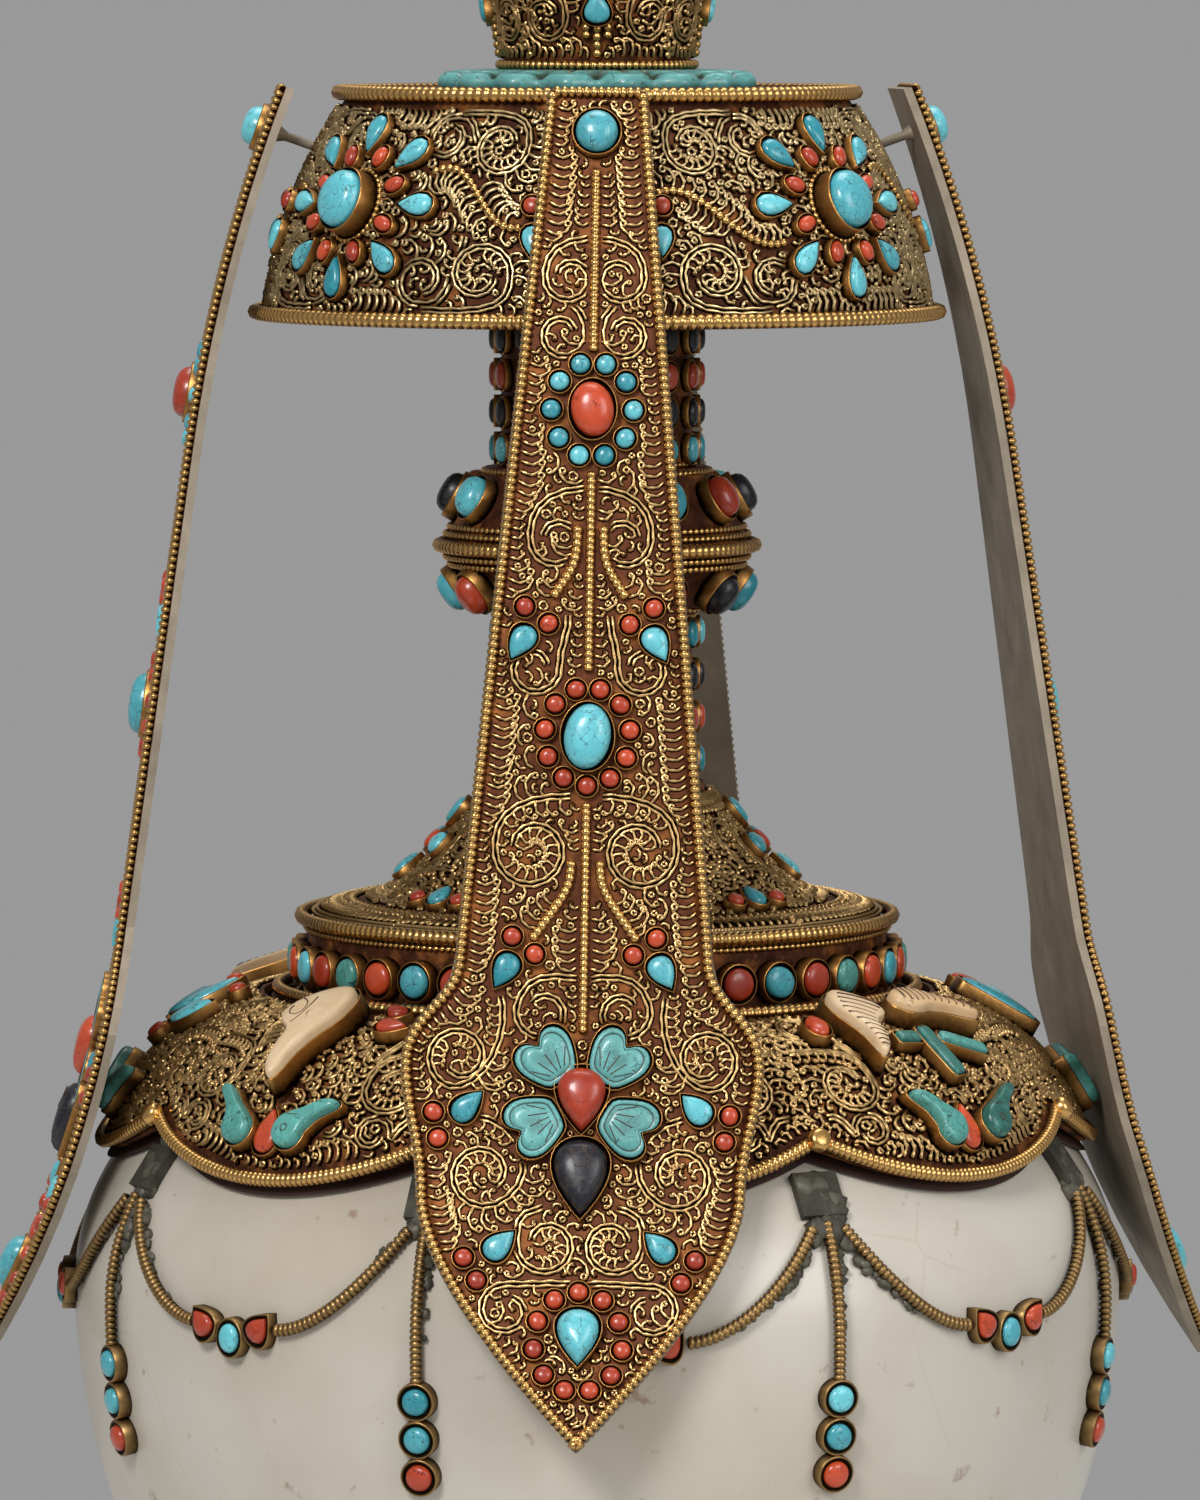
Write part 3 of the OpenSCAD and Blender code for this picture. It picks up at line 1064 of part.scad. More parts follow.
module strap(turn) color(GILT) {
    rotate([0, 0, turn]) intersection() {
        bent_sheet(-strap_sheet / 2, strap_sheet / 2);
        face_prism(strap_outline, 0);
    }
    at_peg(turn) {
        translate([0, 0, -peg_head_at - peg_head_h / 2])
            cylinder(r = peg_r, h = peg_head_at + peg_head_h / 2);
        translate([0, 0, -strap_sheet / 2 - peg_boss_h])
            cylinder(r1 = peg_r, r2 = 2 * peg_r, h = peg_boss_h + strap_sheet / 4);
        translate([0, 0, -peg_head_at - peg_head_h]) cylinder(r = peg_head_r, h = peg_head_h);
    }
}
module strap_trim(turn) {
    color(GILT) rotate([0, 0, turn]) intersection() {
        bent_sheet(strap_sheet / 2, strap_sheet / 2 + border_h);
        difference() {
            face_prism(strap_outline, 0);
            face_prism(inset(strap_outline, border_w), over);
        }
    }
    settings(strap_gems(turn));
}

foot();
foot_plate();
foot_rims();
belly();
belly_cup();
shoulder_cap();
shoulder_bed();
shoulder_rim();
garland_tabs();
garland_wires();
stones(garland_gems(), "T", TURQUOISE);  // garland_turquoise
stones(garland_gems(), "C", CORAL);  // garland_coral
collar();
neck_dome();
neck_rims();
neck_tube();
neck_sleeves();
knop();
canopy_floor();
canopy_wall();
canopy_top();
canopy_rims();
lotus_ring();
mouth_cup();
stopper();
stopper_jewel();
settings(shoulder_gems());  // shoulder_settings
stones(shoulder_gems(), "T", TURQUOISE);  // shoulder_turquoise
stones(shoulder_gems(), "C", CORAL);  // shoulder_coral
stones(shoulder_gems(), "S", SHELL);  // shoulder_shell
settings(collar_gems());  // collar_settings
stones(collar_gems(), "T", TURQUOISE);  // collar_turquoise
stones(collar_gems(), "C", CORAL);  // collar_coral
settings(neck_gems());  // neck_settings
stones(neck_gems(), "T", TURQUOISE);  // neck_turquoise
stones(neck_gems(), "C", CORAL);  // neck_coral
stones(neck_gems(), "L", LAPIS);  // neck_lapis
settings(canopy_gems());  // canopy_settings
stones(canopy_gems(), "T", TURQUOISE);  // canopy_turquoise
stones(canopy_gems(), "C", CORAL);  // canopy_coral
module strap_stones(k, stone, tint) hung(k) stones(strap_gems(strap_turns[k]), stone, tint);
for (k = [0 : len(STRAPS) - 1]) {
    hung(k) strap(strap_turns[k]);
    hung(k) strap_trim(strap_turns[k]);
    strap_stones(k, "T", TURQUOISE);
    strap_stones(k, "C", CORAL);
    strap_stones(k, "L", LAPIS);
}
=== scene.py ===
# %% [markdown]
# # A bumpa vase in stone, gilt wire and coloured stones
# The vase is a white stone belly with mounts of gilded copper. The mounts are covered with filigree: thin
# twisted wire bent into curls and soldered to a sheet. The solids give every piece its place. This lesson
# lays the wire, the beads and the stones over them, and gives each surface its finish.

# %% Load the solids
import bpy
import numpy as np
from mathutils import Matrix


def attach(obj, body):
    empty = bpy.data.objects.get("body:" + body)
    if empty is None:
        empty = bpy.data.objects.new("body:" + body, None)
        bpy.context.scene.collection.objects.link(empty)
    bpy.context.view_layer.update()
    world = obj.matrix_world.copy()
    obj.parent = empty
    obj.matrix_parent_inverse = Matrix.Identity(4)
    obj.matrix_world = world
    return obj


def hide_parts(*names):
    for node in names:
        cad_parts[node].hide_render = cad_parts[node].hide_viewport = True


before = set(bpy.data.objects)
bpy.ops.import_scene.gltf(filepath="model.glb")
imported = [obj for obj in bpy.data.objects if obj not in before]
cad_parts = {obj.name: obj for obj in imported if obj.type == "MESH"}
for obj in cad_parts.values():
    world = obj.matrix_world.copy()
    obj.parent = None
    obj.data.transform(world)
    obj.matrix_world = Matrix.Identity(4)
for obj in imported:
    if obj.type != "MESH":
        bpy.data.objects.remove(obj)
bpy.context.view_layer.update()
MM = 0.001

# %% [markdown]
# ## Sizes
# The vase was measured once, for the solids. The same lengths are repeated here in millimetres, so that a
# wire or a stone lands on the surface that carries it. A length becomes metres only when a mesh is made.

# %% Sizes shared with the solids
LOBES, LOBE_TURN, LOBE_STEP = 8, np.radians(3.5), np.pi / 4
Z_WIDE, Z_COLLAR, Z_DOME, Z_NECK, Z_KNOP = 117.052, 164.209, 177.709, 201.909, 230.909
Z_BAND, Z_CONE, Z_UPPER, Z_CANOPY, Z_PLATE = 240.309, 243.709, 255.309, 280.309, 317.909
Z_MOUTH, Z_LIP, FOOT_H = 319.309, 361.309, 32.0
BELLY_R, BELLY_RISE, BELLY_DROP = 89.0, 56.0, 101.0
BELLY_WALL, BELLY_MOUTH_R, AXIS_R = 7.0, 19.0, 0.4
SLEEVE_R, KNOP_R, KNOP_END_R, COLLAR_R, DOME_R = 16.2, 25.5, 18.9, 49.3, 49.0
CUP_LOW_R, CUP_LIP_R = 15.2, 21.0
CANOPY_MID, CANOPY_BULGE = np.array([-25.9369, 270.658]), 83.0
CANOPY_A0, CANOPY_A1 = np.radians([6.67778, 34.7013])
CAP_MID, CAP_BULGE = np.array([50.1253, 132.855]), 34.0
CAP_A0, CAP_A1 = np.radians([14.56, 78.816])
Z_LOBE, CAP_SCALLOP, CAP_EDGE_R = 140.052, 70.2265, 83.0334
Z_LOW_TIP, LOW_SCALLOP = 65.0, 60.1995
STRAP_TURNS = np.radians([0, 98, 176, 272])
STRAPS = ["front_strap", "right_strap", "back_strap", "left_strap"]
ROSETTE_TURNS = np.radians([49, 137, 224, 310])
SEAT, SHEET = 0.12, 1.4
print("vase", Z_LIP, "mm to the lip,", len(STRAPS), "straps")

# %% [markdown]
# ## From arrays to a mesh
# A piece is a tuple: points, a list of face arrays, and one value for each point, `proud`, that says how far
# the point stands out of the work. The metal finishes read that value: raised places are bright, partly as
# wear of the gilding and partly as a painted highlight, and hollows are dark as painted shade. Blender's
# curves with a bevel could make a wire too, but thousands of them are slow, and arrays give one mesh at once.

# %% Mesh helpers
def merge(parts):
    """Joins pieces into one: the face numbers of each are moved on by the points before them."""
    starts = np.cumsum([0] + [len(p[0]) for p in parts])
    faces = [f + start for p, start in zip(parts, starts) for f in p[1]]
    return np.concatenate([p[0] for p in parts]), faces, np.concatenate([p[2] for p in parts])


def put(name, part, body, slot, material, stands_for=()):
    """Puts a piece's arrays into a mesh object that rides on a body and has one finish."""
    points, faces, proud = part
    sizes = np.concatenate([np.full(len(f), f.shape[1]) for f in faces])
    mesh = bpy.data.meshes.new(name)
    mesh.vertices.add(len(points))
    mesh.vertices.foreach_set("co", (points * MM).astype(np.float32).ravel())
    mesh.loops.add(int(sizes.sum()))
    mesh.loops.foreach_set("vertex_index", np.concatenate([f.ravel() for f in faces]).astype(np.int32))
    mesh.polygons.add(len(sizes))
    mesh.polygons.foreach_set("loop_start", np.r_[0, np.cumsum(sizes)[:-1]].astype(np.int32))
    mesh.polygons.foreach_set("use_smooth", np.full(len(sizes), True))
    mesh.update(calc_edges=True)
    mesh.attributes.new("proud", "FLOAT", "POINT").data.foreach_set("value", proud.astype(np.float32))
    mesh.materials.append(material)
    obj = bpy.data.objects.new(name, mesh)
    bpy.context.scene.collection.objects.link(obj)
    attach(obj, body)
    if stands_for:
        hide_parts(*stands_for)
    print(f"{name}: {len(points)} points, {int((sizes - 2).sum())} triangles")


def mount(name, part, finish, stands_for=(), body="vase"):
    """Puts up a piece of gilded metal."""
    put(name, part, body, "gilt", finish, stands_for)


def paint(finish, *names):
    """Gives solids that stay in sight their finish."""
    for name in names:
        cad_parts[name].data.materials.clear()
        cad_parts[name].data.materials.append(finish)


def even_turns(count):
    """Angles that part a full turn evenly."""
    return np.arange(count) * 2 * np.pi / count


def around(r, a, z):
    """Places at a radius r, a turn a from the front and a level z; also directions, out by r and up by z."""
    return np.stack(np.broadcast_arrays(r * np.sin(a), -r * np.cos(a), z), -1)


def lengths(line):
    """The length along a flat line at each of its points."""
    return np.r_[0, np.cumsum(np.hypot(*np.diff(line, axis=0).T))]


def read_at(at, s, line):
    """Places on a line at the lengths `at`, where s is the length at each of its points."""
    return np.stack([np.interp(at, s, q) for q in line.T], -1)


def unit(v):
    """Vectors of length 1."""
    return v / np.maximum(np.linalg.norm(v, axis=-1, keepdims=True), 1e-9)


def sweep(lines, outs, up, across, proud, closed=False):
    """Carries a ring of points along each line. At a point p with outward direction n and tangent t, the
    ring is p + up n + across (t x n). Each of up, across and proud has a row for each point and a column for
    each side."""
    p, n = np.concatenate(lines), np.concatenate(outs)
    count = np.array([len(q) for q in lines])
    first = np.repeat(np.r_[0, np.cumsum(count)[:-1]], count)
    last = first + np.repeat(count, count) - 1
    here = np.arange(len(p))
    after = np.where(here == last, first if closed else here, here + 1)
    before = np.where(here == first, last if closed else here, here - 1)
    t = unit(p[after] - p[before])
    b = unit(np.cross(t, n))
    n = np.cross(b, t)
    sides = up.shape[1]
    ring = p[:, None] + up[..., None] * n[:, None] + across[..., None] * b[:, None]
    j = np.arange(sides)
    base = here if closed else here[here != last]
    quads = np.stack([base[:, None] * sides + j, base[:, None] * sides + (j + 1) % sides,
                      after[base][:, None] * sides + (j + 1) % sides, after[base][:, None] * sides + j], -1)
    faces = [quads.reshape(-1, 4)]
    if not closed:
        ends, starts = np.unique(last), np.unique(first)
        faces += [ends[:, None] * sides + j, starts[:, None] * sides + j[::-1]]
    return ring.reshape(-1, 3), faces, proud.ravel()


def tube(lines, outs, high, wide, sides, closed=False):
    """A sweep with an oval section of half-axes `high` and `wide`. Its `proud` runs from 1 on top to 0
    underneath, which the metals paint as a highlight on top and shade below.
    """
    count = sum(len(q) for q in lines)
    a = even_turns(sides)
    high, wide = (np.broadcast_to(r, count)[:, None] for r in (high, wide))
    proud = np.broadcast_to(0.5 + 0.5 * np.cos(a), (count, sides))
    return sweep(lines, outs, high * np.cos(a), wide * np.sin(a), proud, closed)


def spaced(points, outs, count, closed):
    """Places at equal lengths along a line, and the outward directions there."""
    if closed:
        points, outs = np.r_[points, points[:1]], np.r_[outs, outs[:1]]
    s = np.r_[0, np.cumsum(np.linalg.norm(np.diff(points, axis=0), axis=1))]
    at = np.linspace(0, s[-1], count, endpoint=not closed)
    return [read_at(at, s, q) for q in (points, outs)]


def line_length(points, closed=False):
    """The whole length of a line."""
    ends = np.r_[points, points[:1]] if closed else points
    return np.linalg.norm(np.diff(ends, axis=0), axis=1).sum()


ROUND_BEAD = np.array([0.46, 0.92, 1.0, 0.92])
DISC_BEAD = np.array([0.66, 0.98, 1.0, 0.98])
BEAD_SHADE = 1.6


def beads(lines, outs, pitch, radius, closed=False, sides=8, bead=ROUND_BEAD):
    """Beaded wire: a tube whose radius swells and narrows once in each pitch, painted dark where it is narrow,
    as shade between the beads.
    """
    parts = []
    for line, out in zip(lines, outs):
        count = len(bead) * max(2, round(line_length(line, closed) / pitch)) + (0 if closed else 1)
        p, n = spaced(line, out, count, closed)
        share = np.resize(bead, count)
        points, faces, proud = tube([p], [n], radius * share, radius * share, sides, closed)
        parts.append((points, faces, proud - np.repeat(BEAD_SHADE * (1 - share), sides)))
    return merge(parts)


def lathe(profile, proud, count=192, shell=False):
    """Turns a profile of radius and level, listed from below upwards on its outside, round the upright axis.
    With `shell` the profile goes on down the inside and back to its start."""
    r, z = np.array(profile, float).T[:, :, None]
    return grid_part(around(r, even_turns(count), z), proud, True, shell)


def grid_part(points, proud, closed=False, shell=False):
    """Quads between the points of a grid; `closed` joins the last column to the first and `shell` the last
    row to the first. The outside is the side from which rows go upwards and columns to the right."""
    n, m = points.shape[:2]
    i, j = np.meshgrid(np.arange(n if shell else n - 1), np.arange(m if closed else m - 1), indexing="ij")
    k, up = (j + 1) % m, (i + 1) % n
    quads = np.stack([i * m + j, i * m + k, up * m + k, up * m + j], -1).reshape(-1, 4)
    return points.reshape(-1, 3), [quads], np.broadcast_to(proud, (n, m)).ravel()


# %% [markdown]
# ## Surfaces to work on
# A goldsmith draws the curls flat and then bends the sheet. Here the same is done with a *skin*: a function
# that takes a flat place (across, along) and a height above the sheet and gives the place in space. One skin
# follows a strap's bent middle line, the other goes round the vase along a section.

# %% Skins
LEAN, TOP_CURL = np.radians([8.13424, 13.0])
TOP_LEN, BLADE_T, STRAP_LEN, TOP_R, TIP_R = 62.9419, 146.338, 225.338, 277.408, 205.744
RUN_TOP, RUN_END = np.array([67.7, 258.609]), np.array([79.5, 176.052])
PEG_R, PEG_Z, PEG_LEAN = 54.6084, 311.876, np.radians(19.4819)
STRAP_HANG = dict(zip(STRAP_TURNS, np.radians([-0.9, 0, 0, 0])))


def swung(turn):
    """How a strap hangs aside: a place on its peg's axis and the turn about it as a matrix, by the formula
    v cos h + (k x v) sin h + k (k . v) (1 - cos h) for a turn h about the direction k."""
    h, k = STRAP_HANG[turn], around(np.cos(PEG_LEAN), turn, np.sin(PEG_LEAN))
    cross = np.array([[0, -k[2], k[1]], [k[2], 0, -k[0]], [-k[1], k[0], 0]])
    matrix = np.cos(h) * np.eye(3) + np.sin(h) * cross + (1 - np.cos(h)) * np.outer(k, k)
    return around(PEG_R, turn, PEG_Z), matrix.T


def strap_line(t):
    """Radius, level and lean of a strap's middle line at a length t below its top: the arc of the top, a
    straight run and the arc of the blade."""
    t = np.asarray(t, float)
    top, run, tip = t < TOP_LEN, (t >= TOP_LEN) & (t < BLADE_T), t >= BLADE_T
    a = LEAN + np.where(top, TOP_CURL * (1 - t / TOP_LEN), 0) + np.where(tip, (t - BLADE_T) / TIP_R, 0)
    f = (t - TOP_LEN) / (BLADE_T - TOP_LEN)
    c, s = np.cos(a) - np.cos(LEAN), np.sin(a) - np.sin(LEAN)
    r = np.select([top, run], [RUN_TOP[0] + TOP_R * c, RUN_TOP[0] + f * (RUN_END[0] - RUN_TOP[0])],
                  RUN_END[0] - TIP_R * c)
    z = np.select([top, run], [RUN_TOP[1] + TOP_R * s, RUN_TOP[1] + f * (RUN_END[1] - RUN_TOP[1])],
                  RUN_END[1] - TIP_R * s)
    return r, z, a


def strap_skin(turn):
    """The front of the strap at a turn: u to the right, t down along the strap."""
    peg, matrix = swung(turn)

    def skin(u, t, lift):
        r, z, a = strap_line(t)
        r, z = r + (SHEET / 2 + lift) * np.cos(a), z + (SHEET / 2 + lift) * np.sin(a)
        place = np.stack([u * np.cos(turn) + r * np.sin(turn), u * np.sin(turn) - r * np.cos(turn), z], -1)
        return peg + (place - peg) @ matrix
    return skin


def arc_section(mid, bulge, a_mid):
    """Section that is an arc about `mid`: radius, level and tilt at a length v above the angle a_mid."""
    return lambda v: (mid[0] + bulge * np.cos(a_mid + v / bulge), mid[1] + bulge * np.sin(a_mid + v / bulge),
                      a_mid + v / bulge)


def line_section(points):
    """Section through points of radius and level, from below upwards, by the length v along it."""
    s = lengths(points)
    tilt = np.arctan2(-np.gradient(points[:, 0], s), np.gradient(points[:, 1], s))
    return lambda v: (np.interp(v, s, points[:, 0]), np.interp(v, s, points[:, 1]), np.interp(v, s, tilt))


def round_skin(section, turn, width):
    """A section carried round the vase: u is the way round at radius `width`, v the way up the section."""
    def skin(u, v, lift):
        r, z, a = section(np.asarray(v, float))
        return around(r + lift * np.cos(a), turn + u / width, z + lift * np.sin(a))
    return skin


def on_skin(skin, lines, lift):
    """Flat lines laid on a skin: their places and outward directions."""
    points = [skin(q[:, 0], q[:, 1], lift) for q in lines]
    return points, [skin(q[:, 0], q[:, 1], lift + 1) - p for q, p in zip(lines, points)]


def ring_line(r, z, tilt=0.0, count=240):
    """A level circle round the vase and its outward directions."""
    a = even_turns(count)
    return around(r, a, z), around(np.cos(tilt), a, np.sin(tilt))


def bezier(p, count):
    """Points of a curve with four control points."""
    f, p = np.linspace(0, 1, count)[:, None], np.asarray(p, float)
    return (1 - f)**3 * p[0] + 3 * f * (1 - f)**2 * p[1] + 3 * f * f * (1 - f) * p[2] + f**3 * p[3]


CANOPY = arc_section(CANOPY_MID, CANOPY_BULGE, (CANOPY_A0 + CANOPY_A1) / 2)
CAP = arc_section(CAP_MID, CAP_BULGE, CAP_A0)
DOME_NECK_R = SLEEVE_R + 1.8
dome_lip = np.array([[DOME_R, Z_DOME], [0.98 * DOME_R, Z_DOME + 3.04], [DOME_R - 4.25, Z_DOME + 3.23],
                     [DOME_R - 8.5, Z_DOME + 3.8]])
dome_sweep = np.array([dome_lip[3], [0.6 * dome_lip[3][0] + 0.4 * DOME_NECK_R, Z_DOME + 5.4],
                       [DOME_NECK_R + 5.5, Z_DOME + 0.66 * 24.2], [DOME_NECK_R, Z_NECK]])
DOME = line_section(np.r_[bezier(dome_lip, 24), bezier(dome_sweep, 60)[1:]])
CUP = line_section(np.array([[CUP_LOW_R, Z_MOUTH], [0.5 * (CUP_LOW_R + CUP_LIP_R), Z_MOUTH + 21],
                             [CUP_LIP_R, Z_LIP]]))


def belly_half(z):
    """Half the height of the oval that holds at a level."""
    return np.where(z > Z_WIDE, BELLY_RISE, BELLY_DROP)


def belly_r(z):
    """The belly is two half-ovals: r = R sqrt(1 - (z / half)^2) above and below its widest level."""
    return BELLY_R * np.sqrt(np.maximum(0, 1 - ((z - Z_WIDE) / belly_half(z))**2))


def belly_tilt(z):
    """How far the stone's surface looks up at a level."""
    return np.arctan2((z - Z_WIDE) / belly_half(z)**2, belly_r(z) / BELLY_R**2)


belly_z = np.linspace(FOOT_H, Z_COLLAR, 160)
BELLY = line_section(np.stack([belly_r(belly_z), belly_z], -1))
print("strap tip at radius", round(float(strap_line(STRAP_LEN)[0]), 2))

# %% [markdown]
# ## Finishes
# The look of this vase comes from bright wire over dark hollows, warm copper sheet, turquoise with dark
# veins, coral, near-black lapis, pale shell, and a white stone belly with faint stains. Two effects come back
# in several finishes, so they are node groups. One turns `proud` and a fine noise into the share of bright
# metal: partly wear, partly a painted highlight on raised places and painted shade in the hollows. `veins`
# draws the crooked dark lines of a stone. Everything else stays in the material.

# %% Node helpers and shared effects
def add(tree, kind, inputs=(), **settings):
    """Adds one node. An input that is a socket is linked, any other value is set on the socket."""
    node = tree.nodes.new("ShaderNode" + kind)
    for key, value in settings.items():
        setattr(node, key, value)
    for key, value in dict(inputs).items():
        if isinstance(value, bpy.types.NodeSocket):
            tree.links.new(value, node.inputs[key])
        else:
            node.inputs[key].default_value = value
    return node


def new_group(name, inputs, outputs):
    """An empty node group with named float inputs (name, value) and outputs (name, kind)."""
    tree = bpy.data.node_groups.new(name, "ShaderNodeTree")
    for key, value in inputs:
        tree.interface.new_socket(key, in_out="INPUT", socket_type="NodeSocketFloat").default_value = value
    for key, kind in outputs:
        tree.interface.new_socket(key, in_out="OUTPUT", socket_type=kind)
    return tree, tree.nodes.new("NodeGroupInput"), tree.nodes.new("NodeGroupOutput")


def noise(tree, where, scale, detail=3.0, rough=0.6):
    """A noise texture at a place, with its scale in turns to the metre."""
    return add(tree, "TexNoise", {"Vector": where, "Scale": scale, "Detail": detail, "Roughness": rough})


# The share of bright metal: wear of the gilding and a painted highlight where `proud` is high, painted shade
# where it is low.
wear_and_shade, w_in, w_out = new_group("wear_and_shade", [("Grain", 900.0), ("Low", 0.2), ("High", 0.8), ("Spread", 0.35)],
                              [("Bright", "NodeSocketFloat"), ("Height", "NodeSocketFloat")])
w_place = add(wear_and_shade, "TexCoord").outputs["Object"]
w_proud = add(wear_and_shade, "Attribute", attribute_name="proud").outputs["Fac"]
w_noise = noise(wear_and_shade, w_place, w_in.outputs["Grain"], 4.0).outputs["Fac"]
w_shift = add(wear_and_shade, "Math", {0: w_noise, 1: 0.5}, operation="SUBTRACT").outputs[0]
w_sum = add(wear_and_shade, "Math", {0: w_shift, 1: w_in.outputs["Spread"], 2: w_proud}, operation="MULTIPLY_ADD")
w_map = add(wear_and_shade, "MapRange", {"Value": w_sum.outputs[0], "From Min": w_in.outputs["Low"],
                               "From Max": w_in.outputs["High"]})
wear_and_shade.links.new(w_map.outputs["Result"], w_out.inputs["Bright"])
wear_and_shade.links.new(w_noise, w_out.inputs["Height"])

veins, v_in, v_out = new_group("veins", [("Size", 300.0), ("Width", 0.03), ("Share", 0.5)],
                               [("Line", "NodeSocketFloat"), ("Cloud", "NodeSocketFloat")])
v_place = add(veins, "TexCoord").outputs["Object"]
v_bend = noise(veins, v_place, v_in.outputs["Size"], 3.0)
v_moved = add(veins, "VectorMath", {0: v_bend.outputs["Color"], 1: (0.004, 0.004, 0.004), 2: v_place},
              operation="MULTIPLY_ADD").outputs[0]
v_cells = add(veins, "TexVoronoi", {"Vector": v_moved, "Scale": v_in.outputs["Size"]},
              feature="DISTANCE_TO_EDGE")
v_line = add(veins, "MapRange", {"Value": v_cells.outputs["Distance"], "From Max": v_in.outputs["Width"],
                                 "To Min": 1.0, "To Max": 0.0})
v_cloud = noise(veins, v_place, v_in.outputs["Size"], 5.0, 0.65)
v_gate = add(veins, "MapRange", {"Value": v_cloud.outputs["Fac"], "From Min": v_in.outputs["Share"],
                                 "From Max": 0.62})
v_mask = add(veins, "Math", {0: v_line.outputs["Result"], 1: v_gate.outputs["Result"]}, operation="MULTIPLY")
veins.links.new(v_mask.outputs[0], v_out.inputs["Line"])
veins.links.new(v_cloud.outputs["Fac"], v_out.inputs["Cloud"])
print("groups:", [g.name for g in bpy.data.node_groups])


def linear(*rgb):
    """Written colours are as seen on a screen, 0 to 255; the shader wants light, so each is raised to 2.2."""
    return tuple((c / 255)**2.2 for c in rgb) + (1.0,)


def new_material(name):
    """A fresh material with its node tree and its shader."""
    mat = bpy.data.materials.new(name)
    mat.use_nodes = True
    return mat, mat.node_tree, mat.node_tree.nodes["Principled BSDF"]


def mixed(tree, share, a, b):
    """A colour between a and b."""
    return add(tree, "Mix", {0: share, 6: a, 7: b}, data_type="RGBA").outputs[2]


def ranged(tree, value, low, high, top=1.0):
    """A value stretched so that `low` gives 0 and `high` gives `top`."""
    inputs = {"Value": value, "From Min": low, "From Max": high, "To Max": top}
    return add(tree, "MapRange", inputs).outputs["Result"]


def bump(tree, bsdf, height, strength, distance=0.0004):
    """Fine unevenness of a surface from a height."""
    bumped = add(tree, "Bump", {"Height": height, "Strength": strength, "Distance": distance})
    tree.links.new(bumped.outputs["Normal"], bsdf.inputs["Normal"])


def group(tree, which, **inputs):
    """Places a node group with its own values."""
    node = tree.nodes.new("ShaderNodeGroup")
    node.node_tree = which
    for key, value in inputs.items():
        node.inputs[key].default_value = value
    return node


# %% [markdown]
# ### Metal
# Gilded wire and gilded sheet are the same metal in two states. The wire is painted bright on top, a painted
# highlight, and brown at its foot, painted shade where it meets the sheet. The sheet between the wires is worn
# down to red copper with golden patches, and dull. One function makes all the metals, also the grey solder and
# the dark resin under the cap, which only shine less. A painted texture could give this painted light and
# shade, but it would stretch at each bend; a value on the points follows the wire.

# %% Metal finishes
def metal(name, dark, bright, low, high, spread, grain, rough, shine=1.0, uneven=0.15, patch=None):
    """Metal whose colour runs from dark to bright with `proud` and noise: partly wear of the surface, partly a
    painted highlight on raised places and painted shade in the hollows.
    """
    mat, tree, bsdf = new_material(name)
    w = group(tree, wear_and_shade, Grain=grain, Low=low, High=high, Spread=spread)
    colour = mixed(tree, w.outputs["Bright"], linear(*dark), linear(*bright))
    if patch:
        place = add(tree, "TexCoord").outputs["Object"]
        cloud = noise(tree, place, 160.0, 4.0).outputs["Fac"]
        colour = mixed(tree, ranged(tree, cloud, 0.5, 0.72), colour, linear(*patch))
    tree.links.new(colour, bsdf.inputs["Base Color"])
    rough_map = add(tree, "MapRange", {"Value": w.outputs["Bright"], "To Min": rough + 0.25, "To Max": rough})
    tree.links.new(rough_map.outputs["Result"], bsdf.inputs["Roughness"])
    bsdf.inputs["Metallic"].default_value = shine
    bump(tree, bsdf, w.outputs["Height"], uneven)
    return mat


# Dark colours of wire, bead, bezel and garland metal: painted shade at feet, in gaps and hollows. Their bright
# colours: partly wear, partly a painted highlight on top.
gilt_wire = metal("gilt_wire", (24, 11, 5), (250, 206, 140), -0.2, 1.0, 0.4, 1500.0, 0.3)
pale_wire = metal("pale_wire", (34, 22, 12), (242, 210, 154), -0.2, 1.0, 0.4, 1500.0, 0.32)
gilt_bead = metal("gilt_bead", (34, 18, 8), (220, 172, 104), -0.1, 0.85, 0.4, 900.0, 0.26)
copper_sheet = metal("copper_sheet", (34, 18, 12), (98, 58, 38), -0.4, 0.5, 1.4, 420.0, 0.5, 0.4, 0.3,
                     (158, 98, 52))
copper_sheet.node_tree.nodes["Principled BSDF"].inputs["Specular IOR Level"].default_value = 0.15
bezel_gilt = metal("bezel_gilt", (24, 16, 12), (190, 140, 80), 0.25, 1.0, 0.4, 1100.0, 0.34)
garland_gilt = metal("garland_gilt", (34, 29, 21), (160, 128, 84), 0.1, 0.95, 0.6, 500.0, 0.4)
back_metal = metal("back_metal", (122, 112, 98), (170, 156, 136), -0.5, 0.5, 1.4, 120.0, 0.5, 0.5, 0.2)
solder_grey = metal("solder_grey", (40, 39, 33), (98, 94, 82), -0.4, 0.9, 1.2, 300.0, 0.5, 0.35, 0.5)
resin_dark = metal("resin_dark", (34, 20, 15), (74, 42, 30), -0.4, 0.6, 1.2, 260.0, 0.55, 0.0, 0.4)

# %% [markdown]
# ### Stone
# Each cabochon has its own tone, because no two pieces of turquoise are alike. A material for each stone
# would do it too. A random value on all the points of one stone needs only one material: it is kept where
# metal keeps `proud`, and it shifts the colour between a deep and a pale one.

